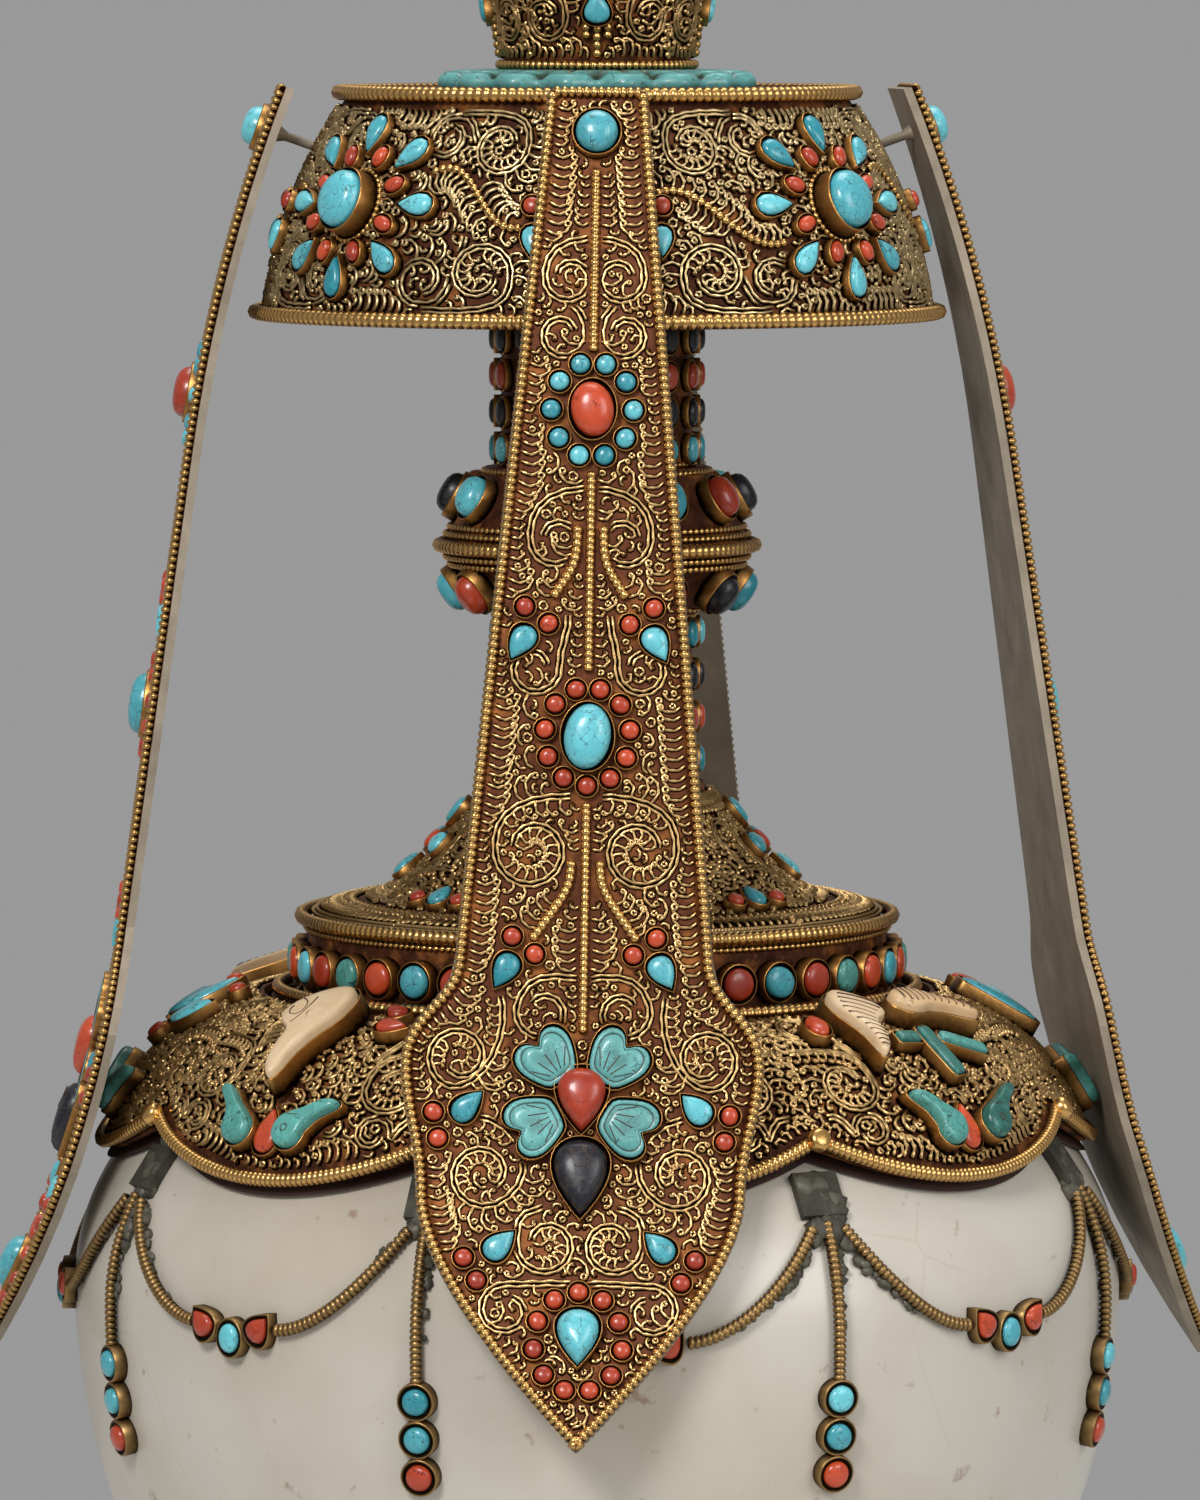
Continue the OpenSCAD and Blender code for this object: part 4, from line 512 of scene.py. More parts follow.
# %% Stone finishes
def stone(name, deep, pale, vein, vein_share, size, rough, tone_pull=0.6, coat=0.3, vein_width=0.05):
    """A polished stone between two colours by its tone and clouds, with thin veins of a third. The tone is the
    stone's own; on carved stones it also holds painted shade and highlight.
    """
    mat, tree, bsdf = new_material(name)
    v = group(tree, veins, Size=size, Width=vein_width, Share=vein_share)
    tone = add(tree, "Attribute", attribute_name="proud").outputs["Fac"]
    share = add(tree, "Math", {0: tone, 1: tone_pull}, operation="MULTIPLY").outputs[0]
    share = add(tree, "Math", {0: v.outputs["Cloud"], 1: 0.8, 2: share}, operation="MULTIPLY_ADD").outputs[0]
    share = add(tree, "Math", {0: share, 1: 0.35}, operation="SUBTRACT", use_clamp=True).outputs[0]
    colour = mixed(tree, share, linear(*deep), linear(*pale))
    colour = mixed(tree, v.outputs["Line"], colour, linear(*vein))
    tree.links.new(colour, bsdf.inputs["Base Color"])
    bsdf.inputs["Roughness"].default_value = rough
    bsdf.inputs["Coat Weight"].default_value = coat
    bsdf.inputs["Coat Roughness"].default_value = 0.12
    bump(tree, bsdf, v.outputs["Cloud"], 0.12)
    return mat


turquoise = stone("turquoise", (34, 128, 142), (118, 212, 222), (46, 42, 34), 0.44, 520.0, 0.3,
                  0.75, 0.3, 0.07)
green_turquoise = stone("green_turquoise", (30, 84, 74), (104, 186, 176), (34, 44, 38), 0.42, 460.0, 0.36,
                        0.7, 0.2, 0.08)
# Carved turquoise: its tone also holds painted shade in the grooves, at the feet and between the petals.
carved_turquoise = stone("carved_turquoise", (34, 62, 56), (112, 190, 186), (50, 62, 52), 0.46, 420.0, 0.4)
coral = stone("coral", (146, 46, 28), (218, 86, 46), (86, 26, 20), 0.52, 380.0, 0.32, 0.55)
lapis = stone("lapis", (9, 10, 15), (28, 30, 42), (60, 56, 50), 0.7, 500.0, 0.4, 0.6, 0.1)
shell = stone("shell", (196, 158, 112), (236, 218, 186), (146, 108, 72), 0.6, 260.0, 0.42, 0.4, 0.15)
STONES = {"T": ("turquoise", turquoise), "C": ("coral", coral), "L": ("lapis", lapis), "S": ("shell", shell),
          "G": ("carved", carved_turquoise), "M": ("green", green_turquoise),
          "P": ("flat_green", green_turquoise)}


def belly_finish():
    """White stone: pale and cream clouds, thin darker veins, brown specks, a soft polish."""
    mat, tree, bsdf = new_material("white_stone")
    v = group(tree, veins, Size=38.0, Width=0.012, Share=0.5)
    place = add(tree, "TexCoord").outputs["Object"]
    broad = noise(tree, place, 14.0, 5.0).outputs["Fac"]
    colour = mixed(tree, ranged(tree, broad, 0.42, 0.72), linear(192, 185, 172), linear(176, 162, 142))
    soft_line = add(tree, "Math", {0: v.outputs["Line"], 1: 0.35}, operation="MULTIPLY").outputs[0]
    colour = mixed(tree, soft_line, colour, linear(170, 152, 130))
    grain = noise(tree, place, 210.0, 3.0).outputs["Fac"]
    colour = mixed(tree, ranged(tree, grain, 0.66, 0.76, 0.7), colour, linear(134, 104, 76))
    tree.links.new(colour, bsdf.inputs["Base Color"])
    bsdf.inputs["Roughness"].default_value = 0.34
    bsdf.inputs["Coat Weight"].default_value = 0.25
    bsdf.inputs["Coat Roughness"].default_value = 0.2
    bump(tree, bsdf, v.outputs["Cloud"], 0.06, 0.001)
    return mat


white_stone = belly_finish()
print("finishes:", len(bpy.data.materials))

# %% [markdown]
# ## Camera, floor and light
# The photograph was taken with a long lens from about 1.7 m, level with the canopy and looking slightly
# down. The floor is a round pale table top, because a curved backdrop would hide the vase from behind. Round
# it there is only the grey of the room, which the camera and the metal see a little darker than it lights. One
# soft lamp above the left shoulder of the camera shapes the vase, and two weaker ones open the shadows.

# %% Camera, floor and lamps
scene = bpy.context.scene
scene.view_settings.view_transform = "Standard"
camera = bpy.data.objects.new("camera", bpy.data.cameras.new("camera"))
scene.collection.objects.link(camera)
CAMERA_AWAY, CAMERA_UP, AIM_UP, FLOOR_R, FLOOR_SIDES = 1.695, 0.337, 0.207, 0.44, 96
camera.location = (0.0005, -CAMERA_AWAY, CAMERA_UP)
camera.rotation_euler = (np.pi / 2 - np.arctan2(CAMERA_UP - AIM_UP, CAMERA_AWAY), 0, 0)
camera.data.lens, camera.data.sensor_width = 240, 36
camera.data.clip_end = 50
scene.camera = camera


def floor_disc():
    """A round pale table top, one flat face: the circle of radius FLOOR_R at level 0."""
    rim = around(FLOOR_R, even_turns(FLOOR_SIDES), 0.0)
    mesh = bpy.data.meshes.new("floor")
    mesh.from_pydata(rim.tolist(), [], [list(range(FLOOR_SIDES))])
    mat, tree, bsdf = new_material("paper")
    bsdf.inputs["Base Color"].default_value = linear(186, 186, 184)
    bsdf.inputs["Roughness"].default_value = 0.9
    mesh.materials.append(mat)
    obj = bpy.data.objects.new("floor", mesh)
    scene.collection.objects.link(obj)


def lamp(name, place, aim, size, power):
    """A square soft lamp at a place, turned so that its -Z looks at the aim."""
    data = bpy.data.lights.new(name, "AREA")
    data.energy, data.size = power, size
    obj = bpy.data.objects.new(name, data)
    scene.collection.objects.link(obj)
    obj.location = place
    way = np.array(aim) - np.array(place)
    obj.rotation_euler = (np.arccos(-way[2] / np.linalg.norm(way)), 0, np.arctan2(-way[0], way[1]))


floor_disc()
lamp("key", (-0.6, -1.55, 1.25), (0, 0, 0.2), 0.5, 24)
lamp("fill", (1.2, -1.25, 0.85), (0, 0, 0.25), 1.0, 13)
lamp("top", (0.1, 0.3, 1.7), (0, 0, 0.2), 1.0, 14)
world = bpy.data.worlds.new("room")
world.use_nodes = True
sky = world.node_tree
path = add(sky, "LightPath").outputs
shown = add(sky, "Math", {0: path["Is Camera Ray"], 1: path["Is Glossy Ray"]}, operation="ADD").outputs[0]
shown = add(sky, "Math", {0: shown, 1: path["Is Transmission Ray"]}, operation="ADD", use_clamp=True)
room = mixed(sky, shown.outputs[0], (0.4, 0.41, 0.42, 1), linear(152, 152, 152))
sky.links.new(room, sky.nodes["Background"].inputs["Color"])
scene.world = world
print("camera at", [round(c, 3) for c in camera.location])

# %% [markdown]
# ## Stones and their settings
# A cabochon is a flat outline with a domed top, held by a low wall of metal, the bezel, whose colour is a
# painted highlight on top, painted shade at its foot and dark down into the gap. Both are the outline carried
# up a short profile, so one function makes hundreds of them at once.
# A gem is listed as stone, shape, width, height, turn in its plane, and its seat: the place on the surface
# and the directions right, up and out.

# %% Gems
def softened(ring, count):
    """A closed line through a few places, with its corners rounded: each point is half itself and half the
    mean of its neighbours."""
    at = np.arange(count) * len(ring) / count
    soft = read_at(at, np.arange(len(ring) + 1), np.r_[ring, ring[:1]])
    return 0.5 * soft + 0.25 * (np.roll(soft, 1, 0) + np.roll(soft, -1, 0))


HEART_SIDE = np.array([[0, 0.5], [0.24, 0.5], [0.33, 0.36], [0.46, 0.06], [0.5, -0.16], [0.46, -0.36],
                       [0.34, -0.48], [0.2, -0.5], [0.08, -0.4], [0, -0.24]])
CONCH_RING = np.array([[-0.34, 0.3], [-0.29, 0.17], [-0.14, 0.08], [-0.26, -0.08], [-0.36, -0.3],
                       [-0.3, -0.47], [-0.24, -0.5], [-0.12, -0.42], [0, -0.2], [0.24, -0.02], [0.48, 0.1],
                       [0.63, 0.3], [0.6, 0.45], [0.45, 0.5], [0.18, 0.5], [-0.09, 0.47], [-0.27, 0.38]])
SLAB_POWER = 2 / 7


def outline(shape, count):
    """Flat outlines in a box of about width and height 1, counter-clockwise, with a drop's point at the top.
    A slab is an oval pulled towards its corners, |2x|^7 + |2y|^7 = 1; a comma is a round head with a tail that
    bends aside; and a horn is a conch in a mirror."""
    a = even_turns(count)
    corner = np.stack([np.cos(a), np.sin(a)], -1)
    if shape in ("round", "oval"):
        return 0.5 * corner
    if shape == "slab":
        return 0.5 * np.sign(corner) * np.abs(corner)**SLAB_POWER
    if shape == "drop":
        return np.stack([-0.65 * np.sin(a) * np.sin(a / 2), 0.5 * np.cos(a)], -1)
    if shape == "leaf":
        s = np.cos(a)
        return 0.5 * np.stack([-np.sin(a) * np.sqrt(1 - s * s), s], -1)
    if shape == "heart":
        return softened(np.r_[HEART_SIDE * [-1, 1], HEART_SIDE[-2:0:-1]], count)
    if shape in ("comma", "comma_left"):
        side, y = 0.4 if shape == "comma" else -0.4, 0.5 * np.cos(a)
        tail = np.maximum(0, (y + 0.1) / 0.6)
        head = 0.39 * np.sqrt(np.maximum(0, 1 - ((y + 0.26) / 0.24)**2))
        stem = (0.17 + 0.12 * np.exp(-(tail / 0.25)**2)) * np.sqrt(1 - np.maximum(0, (tail - 0.75) / 0.25)**2)
        return np.stack([-np.sign(np.sin(a)) * np.where(y < -0.1, head, stem) + side * tail**1.2, y], -1)
    if shape in ("conch", "horn"):
        return softened(CONCH_RING if shape == "conch" else CONCH_RING[::-1] * [-1, 1], count)
    s = np.linspace(0, np.pi, count)
    return np.stack([0.5 * np.cos(s), np.sin(s) - 0.5], -1)


def seat(turn, r, z, tilt, shift=0.0):
    """Place and directions of a seat: right, up along the surface, and out of it."""
    c, s, ct, st = np.cos(turn), np.sin(turn), np.cos(tilt), np.sin(tilt)
    return np.array([[shift * c + r * s, shift * s - r * c, z], [c, s, 0], [-s * st, c * st, ct],
                     [s * ct, -c * ct, st]])


def skin_seat(turn, section, u, v):
    """A seat on a round mount, u round the vase and v up its section."""
    r, z, a = section(np.asarray(v, float))
    return seat(turn + u / r, r + SEAT * np.cos(a), z + SEAT * np.sin(a), a)


def strap_seat(turn, u, t):
    """A seat on the front of a strap, u to the right and t down it."""
    r, z, a = strap_line(t)
    d = SHEET / 2 + SEAT
    peg, matrix = swung(turn)
    rows = seat(turn, r + d * np.cos(a), z + d * np.sin(a), a, u)
    return np.r_[[peg + (rows[0] - peg) @ matrix], rows[1:] @ matrix]


SMALL_W, LOW_WALL, HIGH_WALL, LOW_DOME, HIGH_DOME = 5.8, 1.2, 2.4, 0.95, 2.4
SUNK, STONE_FOOT, FLAT_SHARE = 0.1, 0.35, 0.8
CARVED_SEAT, CARVED_RISE, CARVED_FOOT = 0.6, 1.7, 0.3


def wall_height(gems):
    """The bezel's height, lower for a small stone; one row for each gem."""
    return np.where(widths(gems) < SMALL_W, LOW_WALL, HIGH_WALL)


def stone_rise(gems):
    """How far a domed stone stands above its bezel."""
    return np.where(widths(gems) < SMALL_W, LOW_DOME, HIGH_DOME)


def raised(gems, rate, level, proud, count, close=True, grow=0.0, jitter=0.0):
    """Carries each gem's outline up a profile: at each step the outline is scaled by `rate`, widened by
    `grow` and lifted by `level`, which has a row for each gem. `proud` has one value for each step or gem.
    With `jitter` the outline is a little wavy, other for each stone."""
    parts = []
    for shape in sorted(set(g[1] for g in gems)):
        pick = [i for i, g in enumerate(gems) if g[1] == shape]
        w, h, spin = (np.array([gems[i][j] for i in pick], float) for j in (2, 3, 4))
        seats, flat = np.array([gems[i][5] for i in pick]), outline(shape, count)
        wave = rng.normal(0, jitter, (len(pick), 1, 1)) * np.cos(
            2 * np.arctan2(flat[:, 1], flat[:, 0]) + rng.uniform(0, 6, (len(pick), 1, 1)))
        x = flat[:, 0] * (w[:, None] * rate + 2 * grow)[..., None] * (1 + wave)
        y = flat[:, 1] * (h[:, None] * rate + 2 * grow)[..., None] * (1 + wave)
        c, s = np.cos(np.radians(spin))[:, None, None], np.sin(np.radians(spin))[:, None, None]
        local = np.stack([x * c - y * s, x * s + y * c, level[pick][..., None] + 0 * x], -1)
        points = seats[:, None, None, 0] + np.einsum("grni,gik->grnk", local, seats[:, 1:])
        k, steps = x.shape[:2]
        g, i, j = np.meshgrid(np.arange(k), np.arange(steps - 1), np.arange(count), indexing="ij")
        base, nxt = (g * steps + i) * count, (j + 1) % count
        faces = [np.stack([base + j, base + nxt, base + count + nxt, base + count + j], -1).reshape(-1, 4)]
        if close:
            top = (np.arange(k) * steps + steps - 1) * count
            faces.append(top[:, None] + np.arange(count))
        value = np.broadcast_to(proud, (len(gems), steps))[pick][..., None]
        parts.append((points.reshape(-1, 3), faces, np.broadcast_to(value, (k, steps, count)).ravel()))
    return merge(parts)


rng = np.random.default_rng(11)
DOME_RATE = np.array([0.96, 0.96, 0.9, 0.75, 0.48, 0.17])
DOME_LEVEL = np.array([0.0, 0.0, 0.42, 0.74, 0.94, 1.0])
CARVED_RATE = np.array([1.0, 1.0, 0.95, 0.84, 0.8, 0.76, 0.5, 0.2])
CARVED_LEVEL = np.array([0.0, 0.3, 0.55, 0.66, 0.46, 0.64, 0.64, 0.64])
FLAT_RATE = np.array([1.0, 1.0, 0.96, 0.88, 0.76, 0.5, 0.2])
FLAT_LEVEL = np.array([0.0, 0.4, 0.66, 0.84, 0.95, 1.0, 1.0])
# Tone of a carved petal at each step, added to its own: painted shade at the foot and in the groove, lighter
# on the rim as a painted highlight.
CARVED_LIGHT_AND_SHADE = np.array([0.2, 0.9, 1.1, 0.9, -0.6, 0.9, 1.0, 0.6])
BEZEL_GROW = np.array([0.55, 0.52, 0.42, 0.3, -0.12])
BEZEL_LEVEL = np.array([0.0, 0.92, 1.0, 0.96, 0.84])
# Colour of the bezel at each step: painted shade at the foot, a painted highlight on top, dark down into the
# gap.
BEZEL_PROUD = np.array([0.1, 0.85, 1.0, 0.1, -0.3])


def widths(gems):
    """Widths of the stones, one row for each."""
    return np.array([g[2] for g in gems], float)[:, None]


def cabochons(gems, count, tall):
    """Domed stones: the outline shrinks as it rises, by fixed shares, to a small flat at the top."""
    level = wall_height(gems) + tall - SUNK + stone_rise(gems) * DOME_LEVEL
    level[:, :1] = STONE_FOOT
    tone = rng.uniform(0, 1, (len(gems), 1))
    return raised(gems, DOME_RATE, level, tone, count, jitter=0.03)


def carved(gems, count, tall):
    """Flat carved petals: a groove runs inside the edge, and the middle is dished. Their tone holds painted
    shade at the foot and in the groove and a painted highlight on the rim.
    """
    level = wall_height(gems) * CARVED_SEAT + tall + CARVED_RISE * CARVED_LEVEL
    level[:, :1] = CARVED_FOOT
    tone = CARVED_LIGHT_AND_SHADE + rng.normal(0, 0.1, (len(gems), 1))
    return raised(gems, CARVED_RATE, level, tone, count, jitter=0.01)


def ivories(gems, count, tall):
    """Thick flat pieces of shell or green stone with rounded edges, on which the lines are cut."""
    level = wall_height(gems) + tall - SUNK + stone_rise(gems) * FLAT_SHARE * FLAT_LEVEL
    level[:, :1] = STONE_FOOT
    return raised(gems, FLAT_RATE, level, rng.uniform(0, 1, (len(gems), 1)), count, jitter=0.01)


def bezels(gems, count, tall, thick):
    """Walls round the stones: up outside, over the edge and down into the gap. Their colour is a painted
    highlight on top of the wall and painted shade at its foot, and it is dark down into the gap.
    """
    level = (wall_height(gems) + tall) * BEZEL_LEVEL
    level[:, 0] -= 0.3
    return raised(gems, np.ones(5), level, BEZEL_PROUD, count, False, thick * BEZEL_GROW)


def on_gems(gems, line, level):
    """A flat line drawn in the box of a stone, scaled to each gem: its places and outward directions."""
    lines, outs = [], []
    for kind, shape, w, h, spin, place in gems:
        c, s = np.cos(np.radians(spin)), np.sin(np.radians(spin))
        x, y = line[:, 0] * w, line[:, 1] * h
        flat = np.c_[x * c - y * s, x * s + y * c, np.full(len(x), level)]
        lines.append(place[0] + flat @ place[1:])
        outs.append(np.repeat(place[3:4], len(x), 0))
    return lines, outs


def foot_beads(gems, grow, pitch, radius):
    """A fine bead wire laid round the foot of each setting."""
    rounds = [outline(g[1], 40) * (1 + 2 * grow / np.array([g[2], g[3]])) for g in gems]
    laid_on = [on_gems([g], ring, radius * 0.7) for g, ring in zip(gems, rounds)]
    return beads([q[0][0] for q in laid_on], [q[1][0] for q in laid_on], pitch, radius, True, 5)


CUTS = dict(T=cabochons, C=cabochons, L=cabochons, M=cabochons, P=ivories, S=ivories, G=carved)
BIG_W, BIG_SIDES, SMALL_SIDES = 4, 32, 14


def set_gems(name, gems, nodes="", settings=(), tall=0.0, thick=1.0, finish=bezel_gilt, body="vase"):
    """Puts up one piece of bezels and one piece for each stone, in the places of their solids. Green and
    carved stones hide no solid of their own."""
    big, small = ([g for g in gems if (g[2] >= BIG_W) == wide] for wide in (True, False))
    sorts = [(big, BIG_SIDES), (small, SMALL_SIDES)]
    walls = [bezels(some, n, tall, thick) for some, n in sorts if some]
    mount(name + "_bezels", merge(walls), finish, settings, body)
    for kind in sorted(set(g[0] for g in gems)):
        word, look = STONES[kind]
        same = [([g for g in some if g[0] == kind], n) for some, n in sorts]
        parts = [CUTS[kind](some, n, tall) for some, n in same if some]
        slot = "turquoise" if kind in "GMP" else word
        stands_for = [f"{nodes}_{word}"] if nodes and kind not in "GMP" else []
        put(f"{name}_{word}_stones", merge(parts), body, slot, look, stands_for)


def scratches(name, gems, lines, level, body, slot):
    """Cut lines on carved stones, as thin dark strips that lie in the surface."""
    rows = [on_gems(gems, line, level) for line in lines]
    all_lines, all_outs = ([q for row in rows for q in row[i]] for i in (0, 1))
    put(name, tube(all_lines, all_outs, 0.1, 0.13, 3), body, slot, resin_dark)


# %% [markdown]
# ## Filigree
# Two thin wires are twisted into a cord, flattened a little, and bent with pliers. Two shapes come back
# everywhere. The *scroll* is a double cord that swings out like a young fern and winds in on itself. The
# *hook* is a short arc with a tiny loop at its end; hooks stand in rows like the barbs of a feather along
# every cord and border. Curves could be drawn by hand, but there are thousands of hooks. So they are laid
# flat by rule, on a panel map that remembers which places are taken, and wire keeps off the stones and the
# other wire.

# %% Panel map
CELL, SETTING_GAP = 0.25, 0.75


class Panel:
    """A flat map of one panel in cells of a quarter millimetre, true where something already lies."""

    def __init__(self, low, high, inside):
        """`inside` tells for any place whether it lies on the panel at all."""
        self.low = np.array(low, float)
        self.size = np.ceil((np.array(high) - self.low) / CELL).astype(int) + 1
        u, v = (self.low[i] + CELL * np.arange(self.size[i]) for i in (0, 1))
        self.u, self.v = np.meshgrid(u, v, indexing="ij")
        self.taken = ~inside(self.u, self.v)

    def cells(self, uv):
        """Row and column of the cell at each place."""
        at = np.clip(((uv - self.low) / CELL + 0.5).astype(int), 0, self.size - 1)
        return at[..., 0], at[..., 1]

    def free(self, uv):
        """True at each place where nothing lies yet."""
        return ~self.taken[self.cells(uv)]

    def mark(self, uv, reach):
        """Takes every cell within `reach` of the points."""
        n = int(np.ceil(reach / CELL))
        du, dv = np.meshgrid(np.arange(-n, n + 1), np.arange(-n, n + 1), indexing="ij")
        disc = np.stack([du, dv], -1)[np.hypot(du, dv) * CELL <= reach] * CELL
        self.taken[self.cells((uv[:, None] + disc).reshape(-1, 2))] = True

    def mark_gem(self, shape, u, v, w, h, spin, grow, up=1):
        """Takes a stone and its setting: the cells nearer to its middle than its edge is in their direction.
        `up` is -1 where the panel's second way runs down."""
        c, s = np.cos(np.radians(spin)), np.sin(np.radians(spin))
        du, dv = self.u - u, up * (self.v - v)
        x, y = du * c + dv * s, dv * c - du * s
        ring = outline(shape, 72) * [w + 2 * grow, h + 2 * grow]
        edge = np.interp(np.arctan2(y, x), np.arctan2(*ring.T[::-1]), np.hypot(*ring.T), period=2 * np.pi)
        self.taken |= np.hypot(x, y) < edge

    def widened(self, reach):
        """The taken cells grown by a reach, by sliding the map over itself."""
        n = int(round(reach / CELL))
        wide = np.pad(self.taken, n, constant_values=True)
        out = np.zeros_like(self.taken)
        for i in range(-n, n + 1):
            k = int(np.sqrt(n * n - i * i))
            row = wide[n + i:n + i + self.size[0]]
            total = np.cumsum(np.pad(row, ((0, 0), (1, 0))), 1)
            out |= total[:, n + k + 1:n + k + 1 + self.size[1]] > total[:, n - k:n - k + self.size[1]]
        return out


# %% Wire shapes
STEP, WIRE_GAP, HOOK_GAP, CORD_APART = 0.33, 0.5, 0.45, 0.38


def drawn(bend):
    """A flat line from its bend at each step: the heading is the running sum of the bend, and the line is
    the running sum of steps along the heading."""
    way = np.cumsum(np.asarray(bend) * STEP, -1)
    return np.cumsum(STEP * np.stack([np.cos(way), np.sin(way)], -1), -2)


HOOK = drawn(np.r_[np.full(15, 0.52), np.full(7, 2.5)])
HOOK_SIZES = np.array([1.2, 1.0, 0.84, 0.7, 0.56, 0.44])


def laid(shape, at, way, size, hand):
    """Copies of a flat line, scaled, mirrored by hand, turned to their own way and moved to their places."""
    x, y = shape[:, 0] * np.reshape(size, (-1, 1)), shape[:, 1] * np.reshape(size * hand, (-1, 1))
    c, s = np.cos(way)[:, None], np.sin(way)[:, None]
    return np.stack([x * c - y * s, x * s + y * c], -1) + at[:, None]


def runs(line, keep):
    """The unbroken stretches of a line where `keep` holds, of five points or more."""
    edges = np.flatnonzero(np.diff(np.r_[0, keep.astype(int), 0]))
    return [line[a:b] for a, b in edges.reshape(-1, 2) if b - a >= 5]


def even(line):
    """A flat line cut into steps of equal length."""
    s = lengths(line)
    return read_at(np.arange(0, s[-1], STEP), s, line)


def beside(line, d):
    """A flat line moved aside by d."""
    way = unit(np.gradient(line, axis=0))
    return line + d * np.c_[-way[:, 1], way[:, 0]]


def scroll(u, v, r, join, hand, pull, far, lead):
    """A cord from a far place to a circle, by a curve that meets it at the angle `join`, and on round it: the
    radius shrinks from r to 0.5 r in just under one turn, faster towards the end."""
    join = np.radians(join)
    f = np.linspace(0, 1, 120)
    a, rho = join + hand * 2 * np.pi * 0.96 * f, r * (1 - 0.5 * f**1.6)
    ring = np.c_[u + rho * np.cos(a), v + rho * np.sin(a)]
    back = -hand * pull * r * np.array([-np.sin(join), np.cos(join)])
    return even(np.r_[bezier([far, lead, ring[0] + back, ring[0]], 80), ring[1:]])


def both_sides(scrolls, flip=180):
    """Scrolls and their mirror images across the line u = 0."""
    other = [(-u, v, r, flip - join, -hand, pull, (-far[0], far[1]), (-lead[0], lead[1]))
             for u, v, r, join, hand, pull, far, lead in scrolls]
    return list(scrolls) + other


def feather(panel, guide, hand, pitch=1.6, longest=1.2, lean=0.42):
    """Hooks in a row along a guide line, leaning forward from it to one side. Each is the longest of a few
    sizes that still finds its place free."""
    s = lengths(guide)
    where = np.arange(pitch / 2, s[-1], pitch)
    at, ahead = (read_at(where + d, s, guide) for d in (0, 0.1))
    way = np.arctan2(*(ahead - at).T[::-1]) + hand * lean + rng.normal(0, 0.05, len(at))
    kept, left = [], np.ones(len(at), bool)
    for size in HOOK_SIZES[HOOK_SIZES <= longest]:
        hooks = laid(HOOK, at, way, size, hand)
        fits = left & panel.free(hooks[:, 5:]).all(1)
        kept += list(hooks[fits][:, 1:])
        left &= ~fits
    return kept


def scatter(panel, count=3000):
    """Single hooks where there is still room. Their way follows waves over the panel, so that neighbours
    lie side by side."""
    free = np.argwhere(~panel.taken)
    spots = free[rng.permutation(len(free))[:count]]
    at = panel.low + CELL * spots
    way = 2.4 * np.sin(at[:, 0] * 0.23 + 1.3) + 2.0 * np.cos(at[:, 1] * 0.19) + rng.normal(0, 0.15, len(at))
    kept = []
    for size in HOOK_SIZES[1:]:
        hooks = laid(HOOK, at, way, size, 1)
        for hook in hooks[panel.free(hooks).all(1)]:
            if panel.free(hook).all():
                kept.append(hook)
                panel.mark(hook, 0.42)
    return kept


def loop(u, v, r, start):
    """A tiny ring of wire."""
    a = start + np.linspace(0, 6.0, int(max(8, 2 * np.pi * r / STEP)))
    return np.stack([u + r * np.cos(a), v + r * np.sin(a)], -1)


SPAN, BEND = 1.6, 0.7
CURL_PITCH, CURL_HOOK = 0.36, 0.15


def thinned(line, coarse):
    """A flat line with only the points that its shape needs: one for each SPAN of length or BEND of turning,
    both times `coarse`."""
    step = np.diff(line, axis=0)
    way = np.unwrap(np.arctan2(step[:, 1], step[:, 0]))
    need = np.cumsum(np.abs(np.diff(way, prepend=way[0])) / BEND + np.hypot(*step.T) / SPAN) / coarse
    keep = np.r_[True, np.diff(np.floor(need), prepend=0) > 0]
    keep[-1] = True
    return line[keep]


def filigree(panel, scrolls, guides, sizes=(0.7, 0.45), coarse=1.0):
    """Fills a panel: scrolls first, then feathers along the guides and scrolls, then single hooks and
    loops. Inside a scroll the pitch and the hooks go with its radius."""
    lines, inside, outside = [], [], []

    def take(some, reach=WIRE_GAP):
        """Keeps some lines and marks their places."""
        lines.extend(some)
        for line in some:
            panel.mark(line, reach)

    for row in scrolls:
        line = scroll(*row)
        cords = [beside(line, d) for d in (-CORD_APART, CORD_APART)]
        pieces = [piece for cord in cords for piece in runs(cord, panel.free(cord))]
        inside.append((line, row[4], CURL_PITCH * row[2], CURL_HOOK * row[2]))
        outside.append((line, -row[4]))
        take(pieces)
    for row in inside + guides + outside:
        take(feather(panel, *row), HOOK_GAP)
    lines.extend(scatter(panel))
    for r in sizes:
        blocked = panel.widened(r)
        spots = np.argwhere(~blocked)
        for i, j in spots[rng.permutation(len(spots))]:
            if not blocked[i, j]:
                at = panel.u[i, j], panel.v[i, j]
                take([loop(*at, r, rng.uniform(0, 6.3))])
                blocked |= np.hypot(panel.u - at[0], panel.v - at[1]) < 2 * r + WIRE_GAP
    return [thinned(line, coarse) for line in lines]


# The cord's section: a ridge painted bright as a highlight on two feet painted dark as shade; the twist adds a
# painted glint at every other step.
CORD_UP = np.array([0.8, -0.05, -0.05])
CORD_ACROSS = np.array([0.0, 0.46, -0.46])
CORD_LIGHT_AND_SHADE = np.array([0.9, -0.75, -0.75])
TWIST_UP, TWIST_ACROSS, TWIST_GLINT = np.array([[0.07, 0, 0], [0.1, 0, 0], [0.25, 0, 0]])


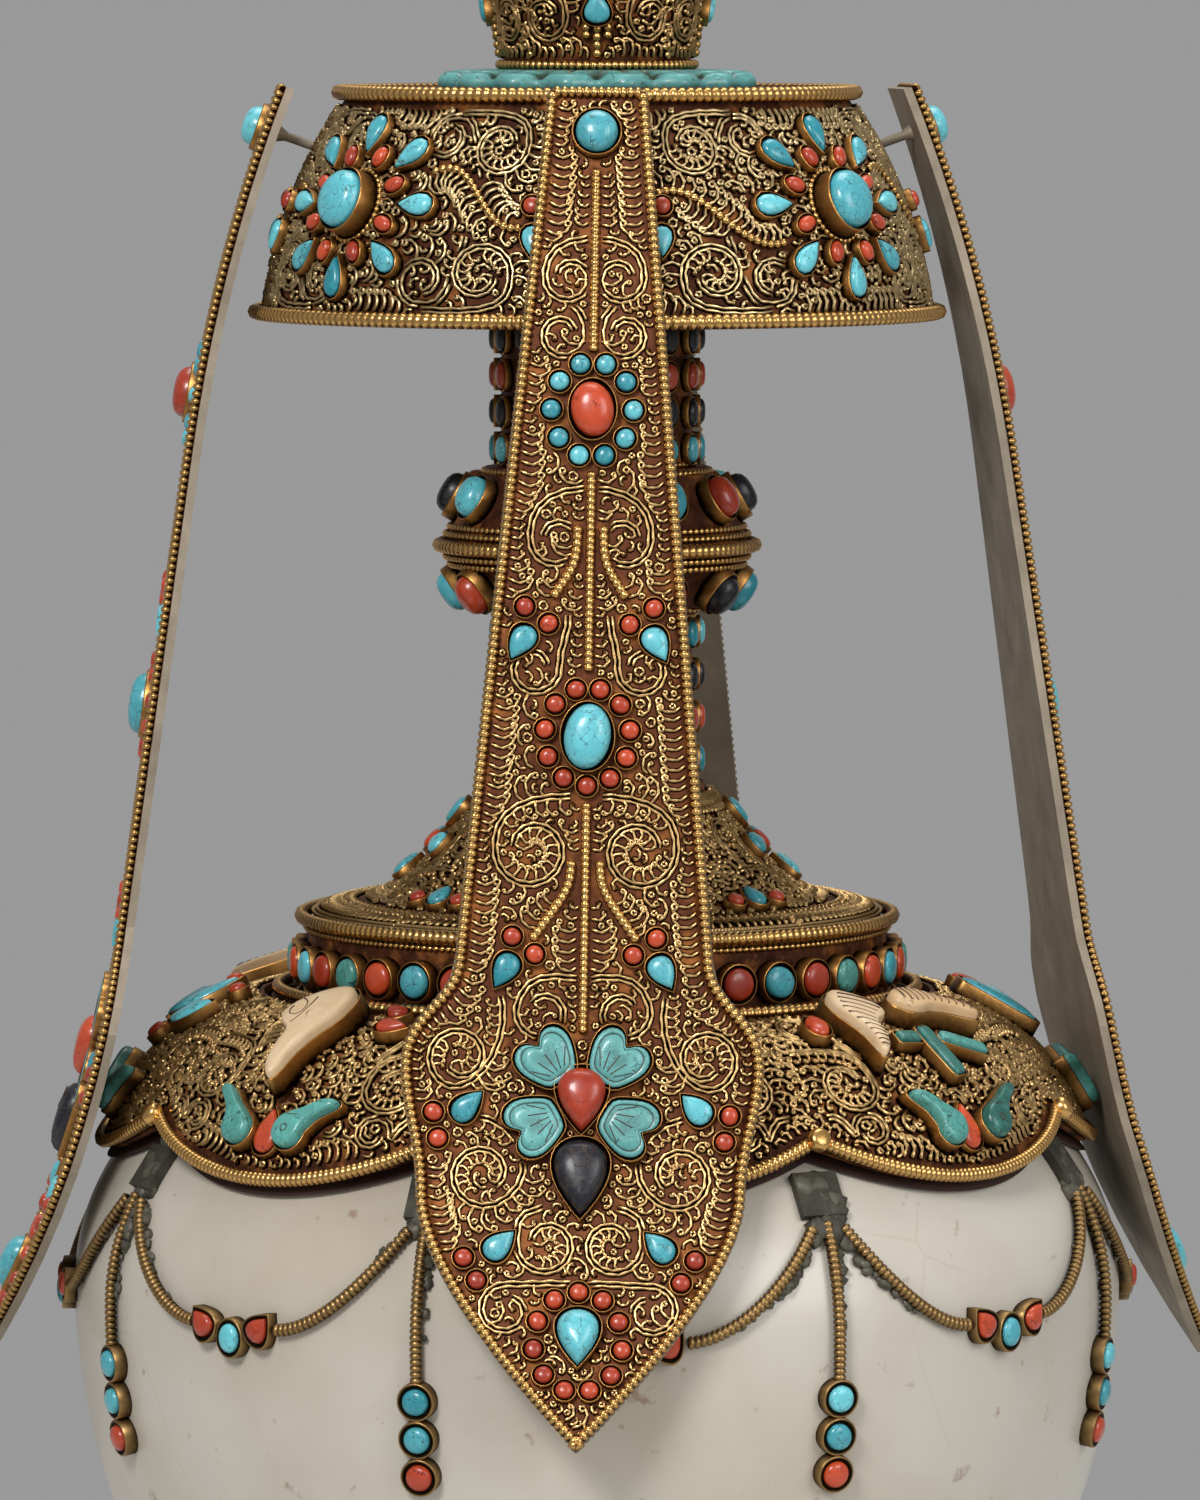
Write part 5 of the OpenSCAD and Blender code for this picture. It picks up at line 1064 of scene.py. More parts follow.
def wires(skin, lines, lift=0.06):
    """Twisted cord on a wide foot that stands for solder: a ridge painted bright on top as a highlight, on a
    foot painted dark as shade. At every other step the ridge stands higher, to one side, and is painted
    brighter, a painted glint like light breaking on twisted strands."""
    points, outs = on_skin(skin, lines, lift)
    twist = np.concatenate([1.0 - 2 * (np.arange(len(q)) % 2) for q in points])[:, None]
    return sweep(points, outs, CORD_UP + TWIST_UP * twist, CORD_ACROSS + TWIST_ACROSS * twist,
                 CORD_LIGHT_AND_SHADE + TWIST_GLINT * twist)


# %% [markdown]
# ## The four straps
# A strap is one blade of sheet metal. Its front is drawn as half-widths against the length, with a bead wire
# along the whole edge, a bead wire down the middle, flowers of stones on that line and clusters beside it.
# The drawing is made once and bent over each of the four straps, with fresh stones each time. Each strap could
# have its own drawing, but one keeps the four alike, as the goldsmith's pattern did.

# %% Strap outline
def strap_half(t):
    """Half-width of a strap at a length t below its top, from its outline as seen from the front."""
    z_top, z_tip = strap_line(0)[1], strap_line(STRAP_LEN)[1]
    flare = bezier([[20.9, 179.052], [20.9, 172.09], [29.4, 170.352], [29.4, 161.652]], 40)
    waist = bezier([flare[-1], [29.4, 154.512], [26.6, 149.412], [26.6, 141.252]], 40)
    drop = 141.252 - z_tip
    tip = bezier([waist[-1], [26.6, 141.252 - 0.25 * drop], [14.364, z_tip + 0.35 * drop], [0, z_tip]], 60)
    side = np.r_[[[8.1, z_top]], flare, waist[1:], tip[1:]]
    return np.interp(-strap_line(t)[1], -side[:, 1], side[:, 0])


def strap_edge(inset, count=700):
    """The strap's edge drawn in by an inset: down the left side, round the tip and up the right side."""
    t = np.r_[np.linspace(0, 215, count), np.linspace(215, STRAP_LEN, 120)[1:]]
    side = np.c_[-strap_half(t), t]
    edge = np.r_[side, side[-2::-1] * [-1, 1]]
    way = unit(np.gradient(edge, axis=0))
    moved = edge + inset * np.c_[way[:, 1], -way[:, 0]]
    keep = (moved[:, 1] > inset) & (np.abs(moved[:, 0]) < strap_half(moved[:, 1]) + 0.01)
    return moved[keep]


EDGE_IN, TOP_HALF = 0.8, 7.2
edge_line = strap_edge(EDGE_IN)
top_line = np.c_[np.linspace(-TOP_HALF, TOP_HALF, 30), np.full(30, EDGE_IN)]
print("edge of a strap:", round(line_length(edge_line)), "mm")

# %% Strap stones
def strap_gems():
    """Rows of stone, shape, width, height, turn, across and along, as on the solids."""
    gems = [("T", "round", 7.2, 7.2, 0, 0, 8), ("C", "oval", 7.2, 9.4, 0, 0, 54),
            ("T", "oval", 8.1, 10.7, 0, 0, 107.3), ("C", "drop", 8.2, 10.8, 180, 0, 166.6),
            ("L", "drop", 9, 13, 180, 0, 179.6), ("T", "drop", 7, 9.6, 180, 0, 206.4)]
    for kind, d, n, t, a, b, start in (("T", 3.2, 10, 54, 6.7, 7.8, 0.5), ("C", 3, 11, 107.3, 7, 8, 0.5),
                                       ("C", 3, 11, 207, 7.2, 8.5, 0)):
        f = 2 * np.pi * (np.arange(n) + start) / n
        gems += [(kind, "round", d, d, 0, a * np.sin(x), t - b * np.cos(x)) for x in f]
    for t, places, point in ((TOP_LEN, [(10.5, 23.3), (6.6, 26), (11.1, 29.2)], -151),
                             (BLADE_T, [(11.7, -6.4), (8, -3.6), (12.9, -0.8)], -151),
                             (BLADE_T, [(24, 22.5), (23.2, 26.8), (18.4, 21.3)], 46),
                             (BLADE_T, [(18.7, 46.6), (16.5, 50.4), (12.8, 44.3)], 46)):
        for side in (-1, 1):
            gems += [("C", "round", 3, 3, 0, side * u, t + v) for u, v in places[:2]]
            gems.append(("T", "drop", 4.2, 6.2, side * point, side * places[2][0], t + places[2][1]))
    for side in (-1, 1):
        gems += [("G", "heart", 10, 8.6, side * 142, side * 5.6, 166.6 - 6.7),
                 ("G", "heart", 10, 8.6, side * 62, side * 7.5, 166.6 + 4.2)]
    return gems


STRAP_GEMS = strap_gems()
cut, cuts = np.linspace(0, 1, 7)[:, None], np.arange(-2, 3)
PETAL_LINES = [np.array([0.07 * x, 0.3]) + cut * np.array([0.1 * x, -0.4 + 0.06 * abs(x)]) for x in cuts]
LEAF_LINES = [np.array([0.04 * x, -0.1]) + cut * np.array([0.09 * x, -0.27]) for x in cuts]
PETAL_LEVEL, LEAF_LEVEL = 2.55, np.linspace(4.7, 4.16, 7)
STRAP_SCROLLS = [(-4.2, 32.2, 3.9, 180, -1, 0.9, (-0.9, 25.6), (-6.5, 26.0)),
                 (-5.0, 41.6, 3.8, 0, 1, 0.9, (-8.2, 35.2), (-3.2, 35.6)),
                 (-5.6, 75.2, 4.2, 175, -1, 0.9, (-0.9, 66.8), (-8.8, 67.2)),
                 (-8.8, 96.2, 4.1, 0, 1, 1.0, (-3.4, 87.6), (-3.4, 91.0)),
                 (-8.8, 125.8, 5.9, 175, -1, 0.8, (-2.6, 117.0), (-13.0, 117.0)),
                 (-6.6, 152.2, 4.3, 200, -1, 0.8, (-1.2, 146.6), (-8.0, 145.6)),
                 (-20.0, 159.8, 4.8, 150, 1, 1.6, (-13.4, 149.6), (-11.2, 160.0)),
                 (-15.7, 178.9, 5.3, 60, 1, 1.5, (-17.0, 169.4), (-9.4, 170.2)),
                 (-5.4, 190.4, 4.8, 180, -1, 1.0, (-6.0, 184.2), (-9.6, 185.4)),
                 (-11.6, 201.4, 4.3, 270, -1, 1.2, (-1.4, 197.0), (-4.0, 196.6))]
MIDDLE_RUNS = [(14, 44.4), (64, 96.6), (118, 155.5)]
TRIO_LINES = [[(2.1, 73), (2.2, 79), (6, 84.6)], [(2.3, 127.5), (2.5, 132), (8.6, 140.4)]]
print("stones on a strap:", len(STRAP_GEMS))


# %% Strap drawing
def bowed(places):
    """A rounded line from the first of three places to the last, drawn towards the middle one."""
    a, b, c = np.array(places, float)
    return bezier([a, b, b, c], 60)


rng = np.random.default_rng(5)
middle_lines = [np.c_[np.zeros(80), np.linspace(a, b, 80)] for a, b in MIDDLE_RUNS]
trio_lines = [bowed(q) * [side, 1] for q in TRIO_LINES for side in (-1, 1)]
strap_map = Panel((-30, 0), (30, STRAP_LEN), lambda u, t: (np.abs(u) < strap_half(t) - 1.9) & (t > 2))
for kind, shape, w, h, spin, u, t in STRAP_GEMS:
    strap_map.mark_gem(shape, u, t, w, h, spin, SETTING_GAP, -1)
for line in middle_lines + trio_lines:
    strap_map.mark(line, 1.15)
inner_edge = strap_edge(1.7)
middle = len(inner_edge) // 2
edge_guides = [(inner_edge[:middle], -1), (inner_edge[middle:][::-1], 1)]
middle_guides = [(line + [side * 0.9, 0], -side) for line in middle_lines for side in (-1, 1)]
trio_guides = [(line, side) for line in trio_lines for side in (-1, 1)]
strap_wire = filigree(strap_map, both_sides(STRAP_SCROLLS), edge_guides + middle_guides + trio_guides)
print("wires on a strap:", len(strap_wire), "length", round(sum(line_length(q) for q in strap_wire)), "mm")


# %% Straps
def strap_ground(turn):
    """The front sheet: a grid of shares of the half-width by length, its rim turned down to the strap."""
    t = np.r_[np.linspace(0.3, 215, 110), np.linspace(216, STRAP_LEN - 0.4, 14)]
    share = np.r_[-1, np.linspace(-1, 1, 13), 1]
    half = np.maximum(strap_half(t) - 0.25, 0.02)
    u, tt = half[:, None] * share, t[:, None] + 0 * share
    lift = np.full(u.shape, 0.1)
    lift[:, [0, -1]] = -0.2
    return grid_part(strap_skin(turn)(u, tt, lift)[::-1], 0.5)


def strap(turn, name):
    """One strap's ground, wire, beads, stones and cut lines, all on its own body."""
    body, skin = name + "_body", strap_skin(turn)
    mount(name + "_ground", strap_ground(turn), copper_sheet, body=body)
    mount(name + "_filigree", wires(skin, strap_wire), gilt_wire, body=body)
    border = beads(*on_skin(skin, [edge_line, top_line], 0.75), 1.22, 0.96)
    lines = merge([beads(*on_skin(skin, middle_lines, 0.7), 1.08, 0.8, bead=DISC_BEAD),
                   beads(*on_skin(skin, trio_lines, 0.75), 1.12, 0.84, bead=DISC_BEAD)])
    mount(name + "_border", border, gilt_bead, [name + "_trim"], body)
    mount(name + "_bead_lines", lines, gilt_bead, body=body)
    gems = [(*g[:5], strap_seat(turn, g[5], g[6])) for g in STRAP_GEMS]
    set_gems(name, gems, name, body=body)
    petals, leaves = ([g for g in gems if g[0] == kind] for kind in "GL")
    scratches(name + "_petal_lines", petals, PETAL_LINES, PETAL_LEVEL, body, "turquoise")
    scratches(name + "_leaf_lines", leaves, LEAF_LINES, LEAF_LEVEL, body, "lapis")
    paint(back_metal, name)


for turn, name in zip(STRAP_TURNS, STRAPS):
    strap(turn, name)

# %% [markdown]
# ## Working round the vase
# The other mounts are round, so a panel of filigree is drawn flat, bent round the vase and repeated. Stones
# on these panels are listed as on the straps, with the length round the vase at their own radius and the
# length up the section.

# %% Round panels
BEAD_GAP = 1.1
FOURTHS, EIGHTHS = np.arange(4) * np.pi / 2, np.arange(8) * np.pi / 4


def flat_places(gems, section, width):
    """Stones with their lengths round the vase scaled to the radius `width` at which the panel is drawn."""
    rows = [(g, section(np.asarray(g[6], float))[0]) for g in gems]
    return [(*g[:2], g[2] * width / r, g[3], g[4], g[5] * width / r, g[6]) for g, r in rows]


def round_seats(gems, turn, section):
    """The stones of a panel with their seats, for the panel's turn."""
    return [(*g[:5], skin_seat(turn, section, g[5], g[6])) for g in gems]


def round_panel(low, high, inside, gems, section, width, lines=()):
    """A panel map with its stones and bead lines already taken."""
    panel = Panel(low, high, inside)
    for kind, shape, w, h, spin, u, v in flat_places(gems, section, width):
        panel.mark_gem(shape, u, v, w, h, spin, SETTING_GAP)
    for line in lines:
        panel.mark(line, BEAD_GAP)
    return panel


def round_wire(name, section, width, lines, turns, finish=gilt_wire, body="vase", lift=0.06):
    """The wire of a flat panel, bent round the vase at each of the turns."""
    parts = [wires(round_skin(section, turn, width), lines, lift) for turn in turns]
    mount(name, merge(parts), finish, body=body)


def level_guides(low, high, v_low, v_high):
    """Feathers along the lower edge, pointing up, and along the upper edge, pointing down."""
    u = np.linspace(low, high, 160)
    return [(np.c_[u, np.full(160, v_low)], 1), (np.c_[u, np.full(160, v_high)], -1)]


def ring_of(kind, shape, w, h, n, a, b, start, spin):
    """Stones on an oval of half-axes a and b, each turned with its place."""
    f = (np.arange(n) + start) * 2 * np.pi / n
    return [(kind, shape, w, h, spin - np.degrees(x), a * np.sin(x), b * np.cos(x)) for x in f]


FLOWER_REACH = 6.2


def flower(low, mid, high):
    """A coral between four drops of turquoise: right, above, left and below."""
    drops = ((90, FLOWER_REACH, mid), (180, 0.0, high), (270, -FLOWER_REACH, mid), (0, 0.0, low))
    return [("C", "round", 4.2, 4.2, 0, 0.0, mid)] + [("T", "drop", 4.4, 5.6, *drop) for drop in drops]


def ring_beads(rows, pitch, bead=ROUND_BEAD, sides=8):
    """Level bead rings, listed as radius of the ring, level and radius of the bead."""
    return merge([beads(*[[q] for q in ring_line(r, z)], pitch, b, True, sides, bead) for r, z, b in rows])


# %% [markdown]
# ## Canopy
# The drum under the mouth is a rounded wall between two heavy bead rims. A rosette of seventeen stones sits
# in each quarter, and bead wires swing from the straps towards it. One quarter could be copied round, but the
# straps don't hang at even turns, so each quarter is drawn to its own width.

# %% Canopy
CANOPY_W, CANOPY_HALF = 50.6, CANOPY_BULGE * (CANOPY_A1 - CANOPY_A0) / 2
ROSETTE = ([("T", "oval", 9.2, 10.2, 0, 0.0, 0.0)] + ring_of("C", "oval", 2.6, 3.8, 8, 9.6, 8.8, 0.5, 0)
           + ring_of("T", "drop", 3.8, 7, 8, 14.2, 12.4, 0, 180))
STRAP_SIDE = [("C", "round", 3, 3, 0, 10.4, 0.0), ("T", "drop", 3.6, 5.4, 180, 10.4, -6.0)]
CANOPY_SWINGS = {1: [(9.4, 2.4), (18, 6), (22, -9), (31, -6)],
                 -1: [(-9.4, -2.1), (-19, -9), (-19, 11), (-29, 6)]}
CANOPY_RIM, STRAP_HALF = 2.0, 5
CANOPY_SCROLLS = [(17.0, 11.0, 4.9, 180, 1, 0.9, (26.0, 17.2), (13.0, 18.0)),
                  (18.0, -11.2, 4.9, 180, -1, 0.9, (27.0, -17.2), (14.0, -18.0)),
                  (27.6, 12.6, 4.0, 90, -1, 0.9, (19.6, 5.4), (23.0, 16.4)),
                  (27.8, -12.4, 4.0, 270, 1, 0.9, (21.0, -5.0), (23.4, -16.4))]


def canopy_quarter(i):
    """One quarter between two straps, drawn about its rosette."""
    turn, ends = ROSETTE_TURNS[i], (STRAP_TURNS[i], STRAP_TURNS[i + 1] if i < 3 else 2 * np.pi)
    sides = [(1, (ends[0] - turn)), (-1, (ends[1] - turn))]
    gems = ROSETTE + [(*g[:5], a * CANOPY(g[6])[0] + side * g[5], g[6])
                      for side, a in sides for g in STRAP_SIDE]
    swings = [bezier(CANOPY_SWINGS[side], 80) + [a * CANOPY_W, 0] for side, a in sides]
    low, high = sides[0][1] * CANOPY_W + STRAP_HALF, sides[1][1] * CANOPY_W - STRAP_HALF
    edge = CANOPY_HALF - CANOPY_RIM
    panel = round_panel((low, -CANOPY_HALF), (high, CANOPY_HALF), lambda u, v: np.abs(v) < edge, gems, CANOPY,
                        CANOPY_W)
    swings = [piece for line in swings for piece in runs(line, panel.free(line))]
    for line in swings:
        panel.mark(line, BEAD_GAP)
    scrolls = [(u + base, v, r, join, hand, pull, (far[0] + base, far[1]), (lead[0] + base, lead[1]))
               for some, base in ((CANOPY_SCROLLS, sides[0][1] * CANOPY_W),
                                  (both_sides(CANOPY_SCROLLS)[4:], sides[1][1] * CANOPY_W))
               for u, v, r, join, hand, pull, far, lead in some]
    guides = level_guides(low, high, -edge, edge) + [(line, side) for line in swings for side in (1, -1)]
    lines = filigree(panel, scrolls, guides)
    round_wire(f"canopy_filigree_{i + 1}", CANOPY, CANOPY_W, lines, [turn], pale_wire)
    hung = on_skin(round_skin(CANOPY, turn, CANOPY_W), swings, 0.6)
    mount(f"canopy_swings_{i + 1}", beads(*hung, 1.3, 0.72), gilt_bead)
    return round_seats(gems, turn, CANOPY)


rng = np.random.default_rng(21)
canopy_gems = [g for i in range(4) for g in canopy_quarter(i)]

# %% [markdown]
# ## Mouth cup, petal ring and stopper
# The cup flares up from a ring of petals carved in greenish turquoise. Three short bead wires hang below each
# of its flowers. The petal ring could be sixteen copies of one petal, but one grid with a wavy edge has no
# seams. The photograph ends here, so the stopper is drawn after others of its kind: a bud with wire petals and
# a flame of coral.

# %% Mouth cup
CUP_W, CUP_RISE = 18.0, Z_LIP - Z_MOUTH
CUP_MID, CUP_HEM, CUP_TOP = 20.2, 5.2, CUP_RISE - 2.6
CUP_FLOWER = flower(CUP_MID - FLOWER_REACH, CUP_MID, CUP_MID + FLOWER_REACH)
cup_lines = [np.c_[np.full(20, u), np.linspace(a, 12.4, 20)] for u, a in ((0, 5.4), (-1.9, 8.6), (1.9, 8.6))]
quarter = np.pi / 4 * CUP_W
cup_panel = round_panel((-quarter, 0), (quarter, CUP_RISE + 0.4), lambda u, v: (v > CUP_HEM) & (v < CUP_TOP),
                        CUP_FLOWER, CUP, CUP_W, cup_lines)
CUP_SCROLLS = [(9.4, 12.2, 3.9, 180, 1, 0.9, (13.4, 18.6), (7.0, 18.6)),
               (9.6, 30.2, 4.0, 180, -1, 0.9, (13.4, 23.0), (7.0, 23.4))]
cup_guides = level_guides(-quarter, quarter, CUP_HEM, CUP_RISE - 2.8)
cup_wire = filigree(cup_panel, both_sides(CUP_SCROLLS), cup_guides, coarse=1.5)
round_wire("cup_filigree", CUP, CUP_W, cup_wire, FOURTHS)
cup_beads = [beads(*on_skin(round_skin(CUP, turn, CUP_W), cup_lines, 0.6), 1.3, 0.75) for turn in FOURTHS]
mount("cup_bead_lines", merge(cup_beads), gilt_bead)
canopy_gems += [g for turn in FOURTHS for g in round_seats(CUP_FLOWER, turn, CUP)]
hearts, others = ([g for g in canopy_gems if (g[2] > 9) == large] for large in (True, False))
set_gems("canopy", others, "canopy", ["canopy_settings"], 0.7)
set_gems("rosette", hearts, tall=1.8)
mount("rosette_collars", foot_beads(hearts, 1.1, 1.1, 0.55), gilt_bead)
canopy_rims = [(57.92, Z_CANOPY + 1.3, 1.3), (43.72, Z_PLATE + 0.7, 1.3), (22.32, Z_LIP - 1.2, 1.2)]
mount("canopy_rim_beads", ring_beads(canopy_rims, 1.5, DISC_BEAD), gilt_bead, ["canopy_rims"])
cup_rings = [(CUP_LOW_R + 1.3, Z_MOUTH + 4.0, 0.8), (CUP_LIP_R - 0.2, Z_LIP - 3.1, 0.6)]
mount("cup_rings", ring_beads(cup_rings, 1.2), gilt_bead)
paint(copper_sheet, "canopy_wall", "mouth_cup", "canopy_top")
paint(back_metal, "canopy_floor")


# %% Petal ring
def petal_ring(petals=16, steps=16, r_out=27.4, notch=2.2, r_in=16.1, height=3.2):
    """Petals in a ring: the edge is r = R - n cos^2(8 a). Rows of points go up the edge and inwards over the
    top, with a groove beside the edge, and a cut from the tip inwards along the middle of each petal. The tone
    is painted shade: darker at the outer foot, in the groove, along the cut, between the petals and towards
    the cup."""
    a = even_turns(petals * steps)
    side = np.cos(a * petals / 2)**2
    edge = r_out - notch * side
    inset = np.array([0.5, 0.0, 0.1, 0.7, 1.3, 1.7, 2.1, 4.0, 7.0, 30.0])[:, None]
    level = np.array([0.0, 0.6, 1.5, 2.4, 2.8, 2.3, 2.9, 3.1, 3.2, 3.2])[:, None]
    # Painted shade: the tone is darker at the foot, in the groove, along the cut, between the petals and
    # towards the cup.
    tone = np.array([0.2, 0.6, 0.8, 1.0, 0.9, -0.5, 0.9, 1.0, 0.7, 0.3])[:, None]
    r = np.maximum(edge - inset, r_in)
    across = np.arange(petals * steps) % steps - steps // 2
    cut = np.exp(-(across / 0.8)**2) * (inset > 2) * (inset < 8)
    gap = side**8 * (inset > 0.3) * (inset < 6)
    z = Z_MOUTH + np.minimum(level - 0.5 * cut - 0.9 * gap, height)
    return grid_part(around(r, a, z), tone - 1.4 * cut - 1.2 * gap, True)


put("petal_ring", petal_ring(), "vase", "turquoise", carved_turquoise, ["lotus_ring"])

# %% Stopper
bud = bezier([[20.2, Z_LIP + 1.6], [25.0, Z_LIP + 10.8], [11.7, Z_LIP + 16.8], [7.02, Z_LIP + 24]], 60)
BUD = line_section(bud)
BUD_W, bud_len = 18.0, line_length(bud)
across = np.linspace(-1, 1, 61)
bud_petals = [np.c_[0.36 * w * BUD_W * np.sign(across) * (1 - np.abs(1 - np.abs(across))**1.6),
                    1.2 + h * (1 - np.abs(across))] for w, h in ((1.0, 15.0), (0.62, 9.0))]
bud_panel = Panel((-7.4, 0), (7.4, bud_len), lambda u, v: (v > 1.5) & (v < bud_len - 1.5))
for line in bud_petals:
    bud_panel.mark(line, 0.9)
bud_wire = filigree(bud_panel, [], [(line, 1) for line in bud_petals])
round_wire("stopper_filigree", BUD, BUD_W, bud_wire, EIGHTHS, body="stopper_body")
bud_beads = [beads(*on_skin(round_skin(BUD, turn, BUD_W), bud_petals, 0.45), 1.2, 0.55, sides=6)
             for turn in EIGHTHS]
mount("stopper_petals", merge(bud_beads), gilt_bead, body="stopper_body")
stopper_rings = [(22.3, Z_LIP + 2.3, 0.8), (6.9, Z_LIP + 23.6, 0.7)]
mount("stopper_rings", ring_beads(stopper_rings, 1.3), gilt_bead, body="stopper_body")
paint(copper_sheet, "stopper")
paint(coral, "stopper_jewel")

# %% [markdown]
# ## Neck
# Two sleeves carry rows of ovals edge to edge. Between them sits the knop, two cones with twelve stones each
# and a bead ring on the widest line, with grains of gold beside it. An array modifier could repeat one stone,
# but a list of seats lets each stone have a tone of its own.

# %% Neck
neck_gems = []
for z0, h, rows in ((Z_NECK, 29.0, "TCLT"), (Z_UPPER, 25.0, "TLCL")):
    levels = [z0 + h * (row + 0.5) / 4 for row in range(4)]
    neck_gems += [(kind, "oval", 3.4, 4.6, 0, seat(i * np.pi / 8, SLEEVE_R + SEAT, z, 0))
                  for kind, z in zip(rows, levels) for i in range(16)]
for z0, h, sign, shift in ((Z_CONE, 11.6, 1, 0), (Z_KNOP, 9.4, -1, 1)):
    tilt = sign * np.arctan2(KNOP_R - KNOP_END_R, h)
    r, z = (KNOP_R + KNOP_END_R) / 2 + SEAT * np.cos(tilt), z0 + h / 2 + SEAT * np.sin(tilt)
    neck_gems += [("LTC"[(i + shift) % 3], "oval", 6, 7.6, 0, seat(i * np.pi / 6, r, z, tilt))
                  for i in range(12)]
set_gems("neck", neck_gems, "neck", ["neck_settings"])
neck_rows = [(DOME_R + 1.32, Z_DOME + 1.32), (54.2, Z_COLLAR + 2.72), (KNOP_R + 1.32, Z_BAND + 1.7)]
neck_beads = ring_beads([(r, z, 1.2) for r, z in neck_rows], 1.35, DISC_BEAD)
mount("neck_rim_beads", neck_beads, gilt_bead, ["neck_rims"])
grain_rows = [(KNOP_R + 0.2, Z_BAND - 0.2), (KNOP_R - 0.5, Z_BAND - 1.5), (KNOP_R + 0.2, Z_CONE + 0.2),
              (KNOP_R - 0.5, Z_CONE + 1.5), (KNOP_END_R + 0.3, Z_KNOP + 0.7),
              (KNOP_END_R + 0.3, Z_UPPER - 0.7)]
mount("knop_grains", ring_beads([(r, z, 0.62) for r, z in grain_rows], 1.25, sides=6), gilt_bead)
sleeve_levels = (Z_NECK + 0.6, Z_KNOP - 0.6, Z_UPPER + 0.6, Z_CANOPY - 0.6)
mount("sleeve_rings", ring_beads([(SLEEVE_R + 0.3, z, 0.6) for z in sleeve_levels], 1.2, sides=6), gilt_bead)
paint(copper_sheet, "knop", "neck_sleeves", "neck_tube")

# %% [markdown]
# ## Dome and collar
# Below the neck a hollow dome sweeps out to a lip with wire of its own. It stands on the collar, a drum with
# forty stones in tall settings: a blue or green turquoise and a coral in turn. The wire could be drawn all
# round, but a quarter that is bent round four times is enough below the canopy.

# %% Dome
DOME_W, LIP_LEN = 33.0, line_length(bezier(dome_lip, 60))
dome_curve = bezier(dome_sweep, 401)
dome_len = lengths(dome_curve)
DOME_END, DOME_SWEEP = dome_len[-1], line_section(dome_curve)


def dome_v(share):
    """Length up the sweep at a share of its curve."""
    return float(np.interp(share, np.linspace(0, 1, 401), dome_len))


DOME_FLOWER = flower(dome_v(0.36), dome_v(0.56), dome_v(0.76))
DOME_TRIO = [("T", "drop", 3.6, 5.4, 0, 0.0, dome_v(0.16)), ("C", "round", 3, 3, 0, -4.8, dome_v(0.12)),
             ("C", "round", 3, 3, 0, 4.8, dome_v(0.12))]
eighth = np.pi / 4 * DOME_W
trio_halves = [(*g[:5], g[5] + side * np.pi / 4 * DOME_SWEEP(g[6])[0], g[6])
               for side in (-1, 1) for g in DOME_TRIO]
dome_panel = round_panel((-eighth, 0), (eighth, DOME_END), lambda u, v: (v > 0.8) & (v < DOME_END - 1.5),
                         DOME_FLOWER + trio_halves, DOME_SWEEP, DOME_W)
DOME_SCROLLS = [(13.0, 6.6, 4.6, 180, 1, 0.9, (21.0, 13.0), (10.0, 13.4)),
                (17.0, 19.0, 4.6, 180, -1, 0.9, (9.0, 11.8), (11.4, 14.0))]
dome_guides = level_guides(-eighth, eighth, 0.9, DOME_END - 1.6)
dome_wire = filigree(dome_panel, both_sides(DOME_SCROLLS), dome_guides)
round_wire("dome_filigree", DOME_SWEEP, DOME_W, dome_wire, FOURTHS)
dome_gems = []
for turn in FOURTHS:
    dome_gems += round_seats(DOME_FLOWER, turn, DOME_SWEEP)
    dome_gems += round_seats(DOME_TRIO, turn + np.pi / 4, DOME_SWEEP)

# %% Collar and lip
collar_gems = [("TCMC"[i % 4], "round", 5.7, 5.7, 0, seat(i * np.pi / 20, COLLAR_R + SEAT, Z_COLLAR + 7.3, 0))
               for i in range(40)]
set_gems("collar", collar_gems, "collar", ["collar_settings"], 1.3, 1.25)
set_gems("dome", dome_gems, tall=0.6)
LIP_W = 45.0
lip_eighth = np.pi / 4 * LIP_W
lip_panel = Panel((-lip_eighth, 0), (lip_eighth, LIP_LEN), lambda u, v: (v > 2.8) & (v < LIP_LEN - 0.2))
lip_wire = filigree(lip_panel, [], level_guides(-lip_eighth, lip_eighth, 3.0, LIP_LEN - 0.3))
lip_wire += [np.c_[np.linspace(-lip_eighth, lip_eighth, 240), np.full(240, v)] for v in (2.1, 2.8)]
round_wire("lip_filigree", DOME, LIP_W, lip_wire, FOURTHS)
collar_rows = [(COLLAR_R + 0.2, Z_COLLAR + 2.1), (COLLAR_R + 1.5, Z_COLLAR + 1.7),
               (COLLAR_R + 0.2, Z_DOME - 0.6)]
mount("collar_grains", ring_beads([(r, z, 0.6) for r, z in collar_rows], 1.2, sides=5), gilt_bead)
paint(copper_sheet, "neck_dome", "collar")

# %% [markdown]
# ## Shoulder cap
# Eight lobes hang over the stone. Each has a traditional lucky sign in carved stone, a small trio at its tip
# and filigree round them. One lobe could be copied eight times, but the signs differ, so the wire is laid
# round each of them. The beaded rim follows the scallops, and a gold stud closes each joint.

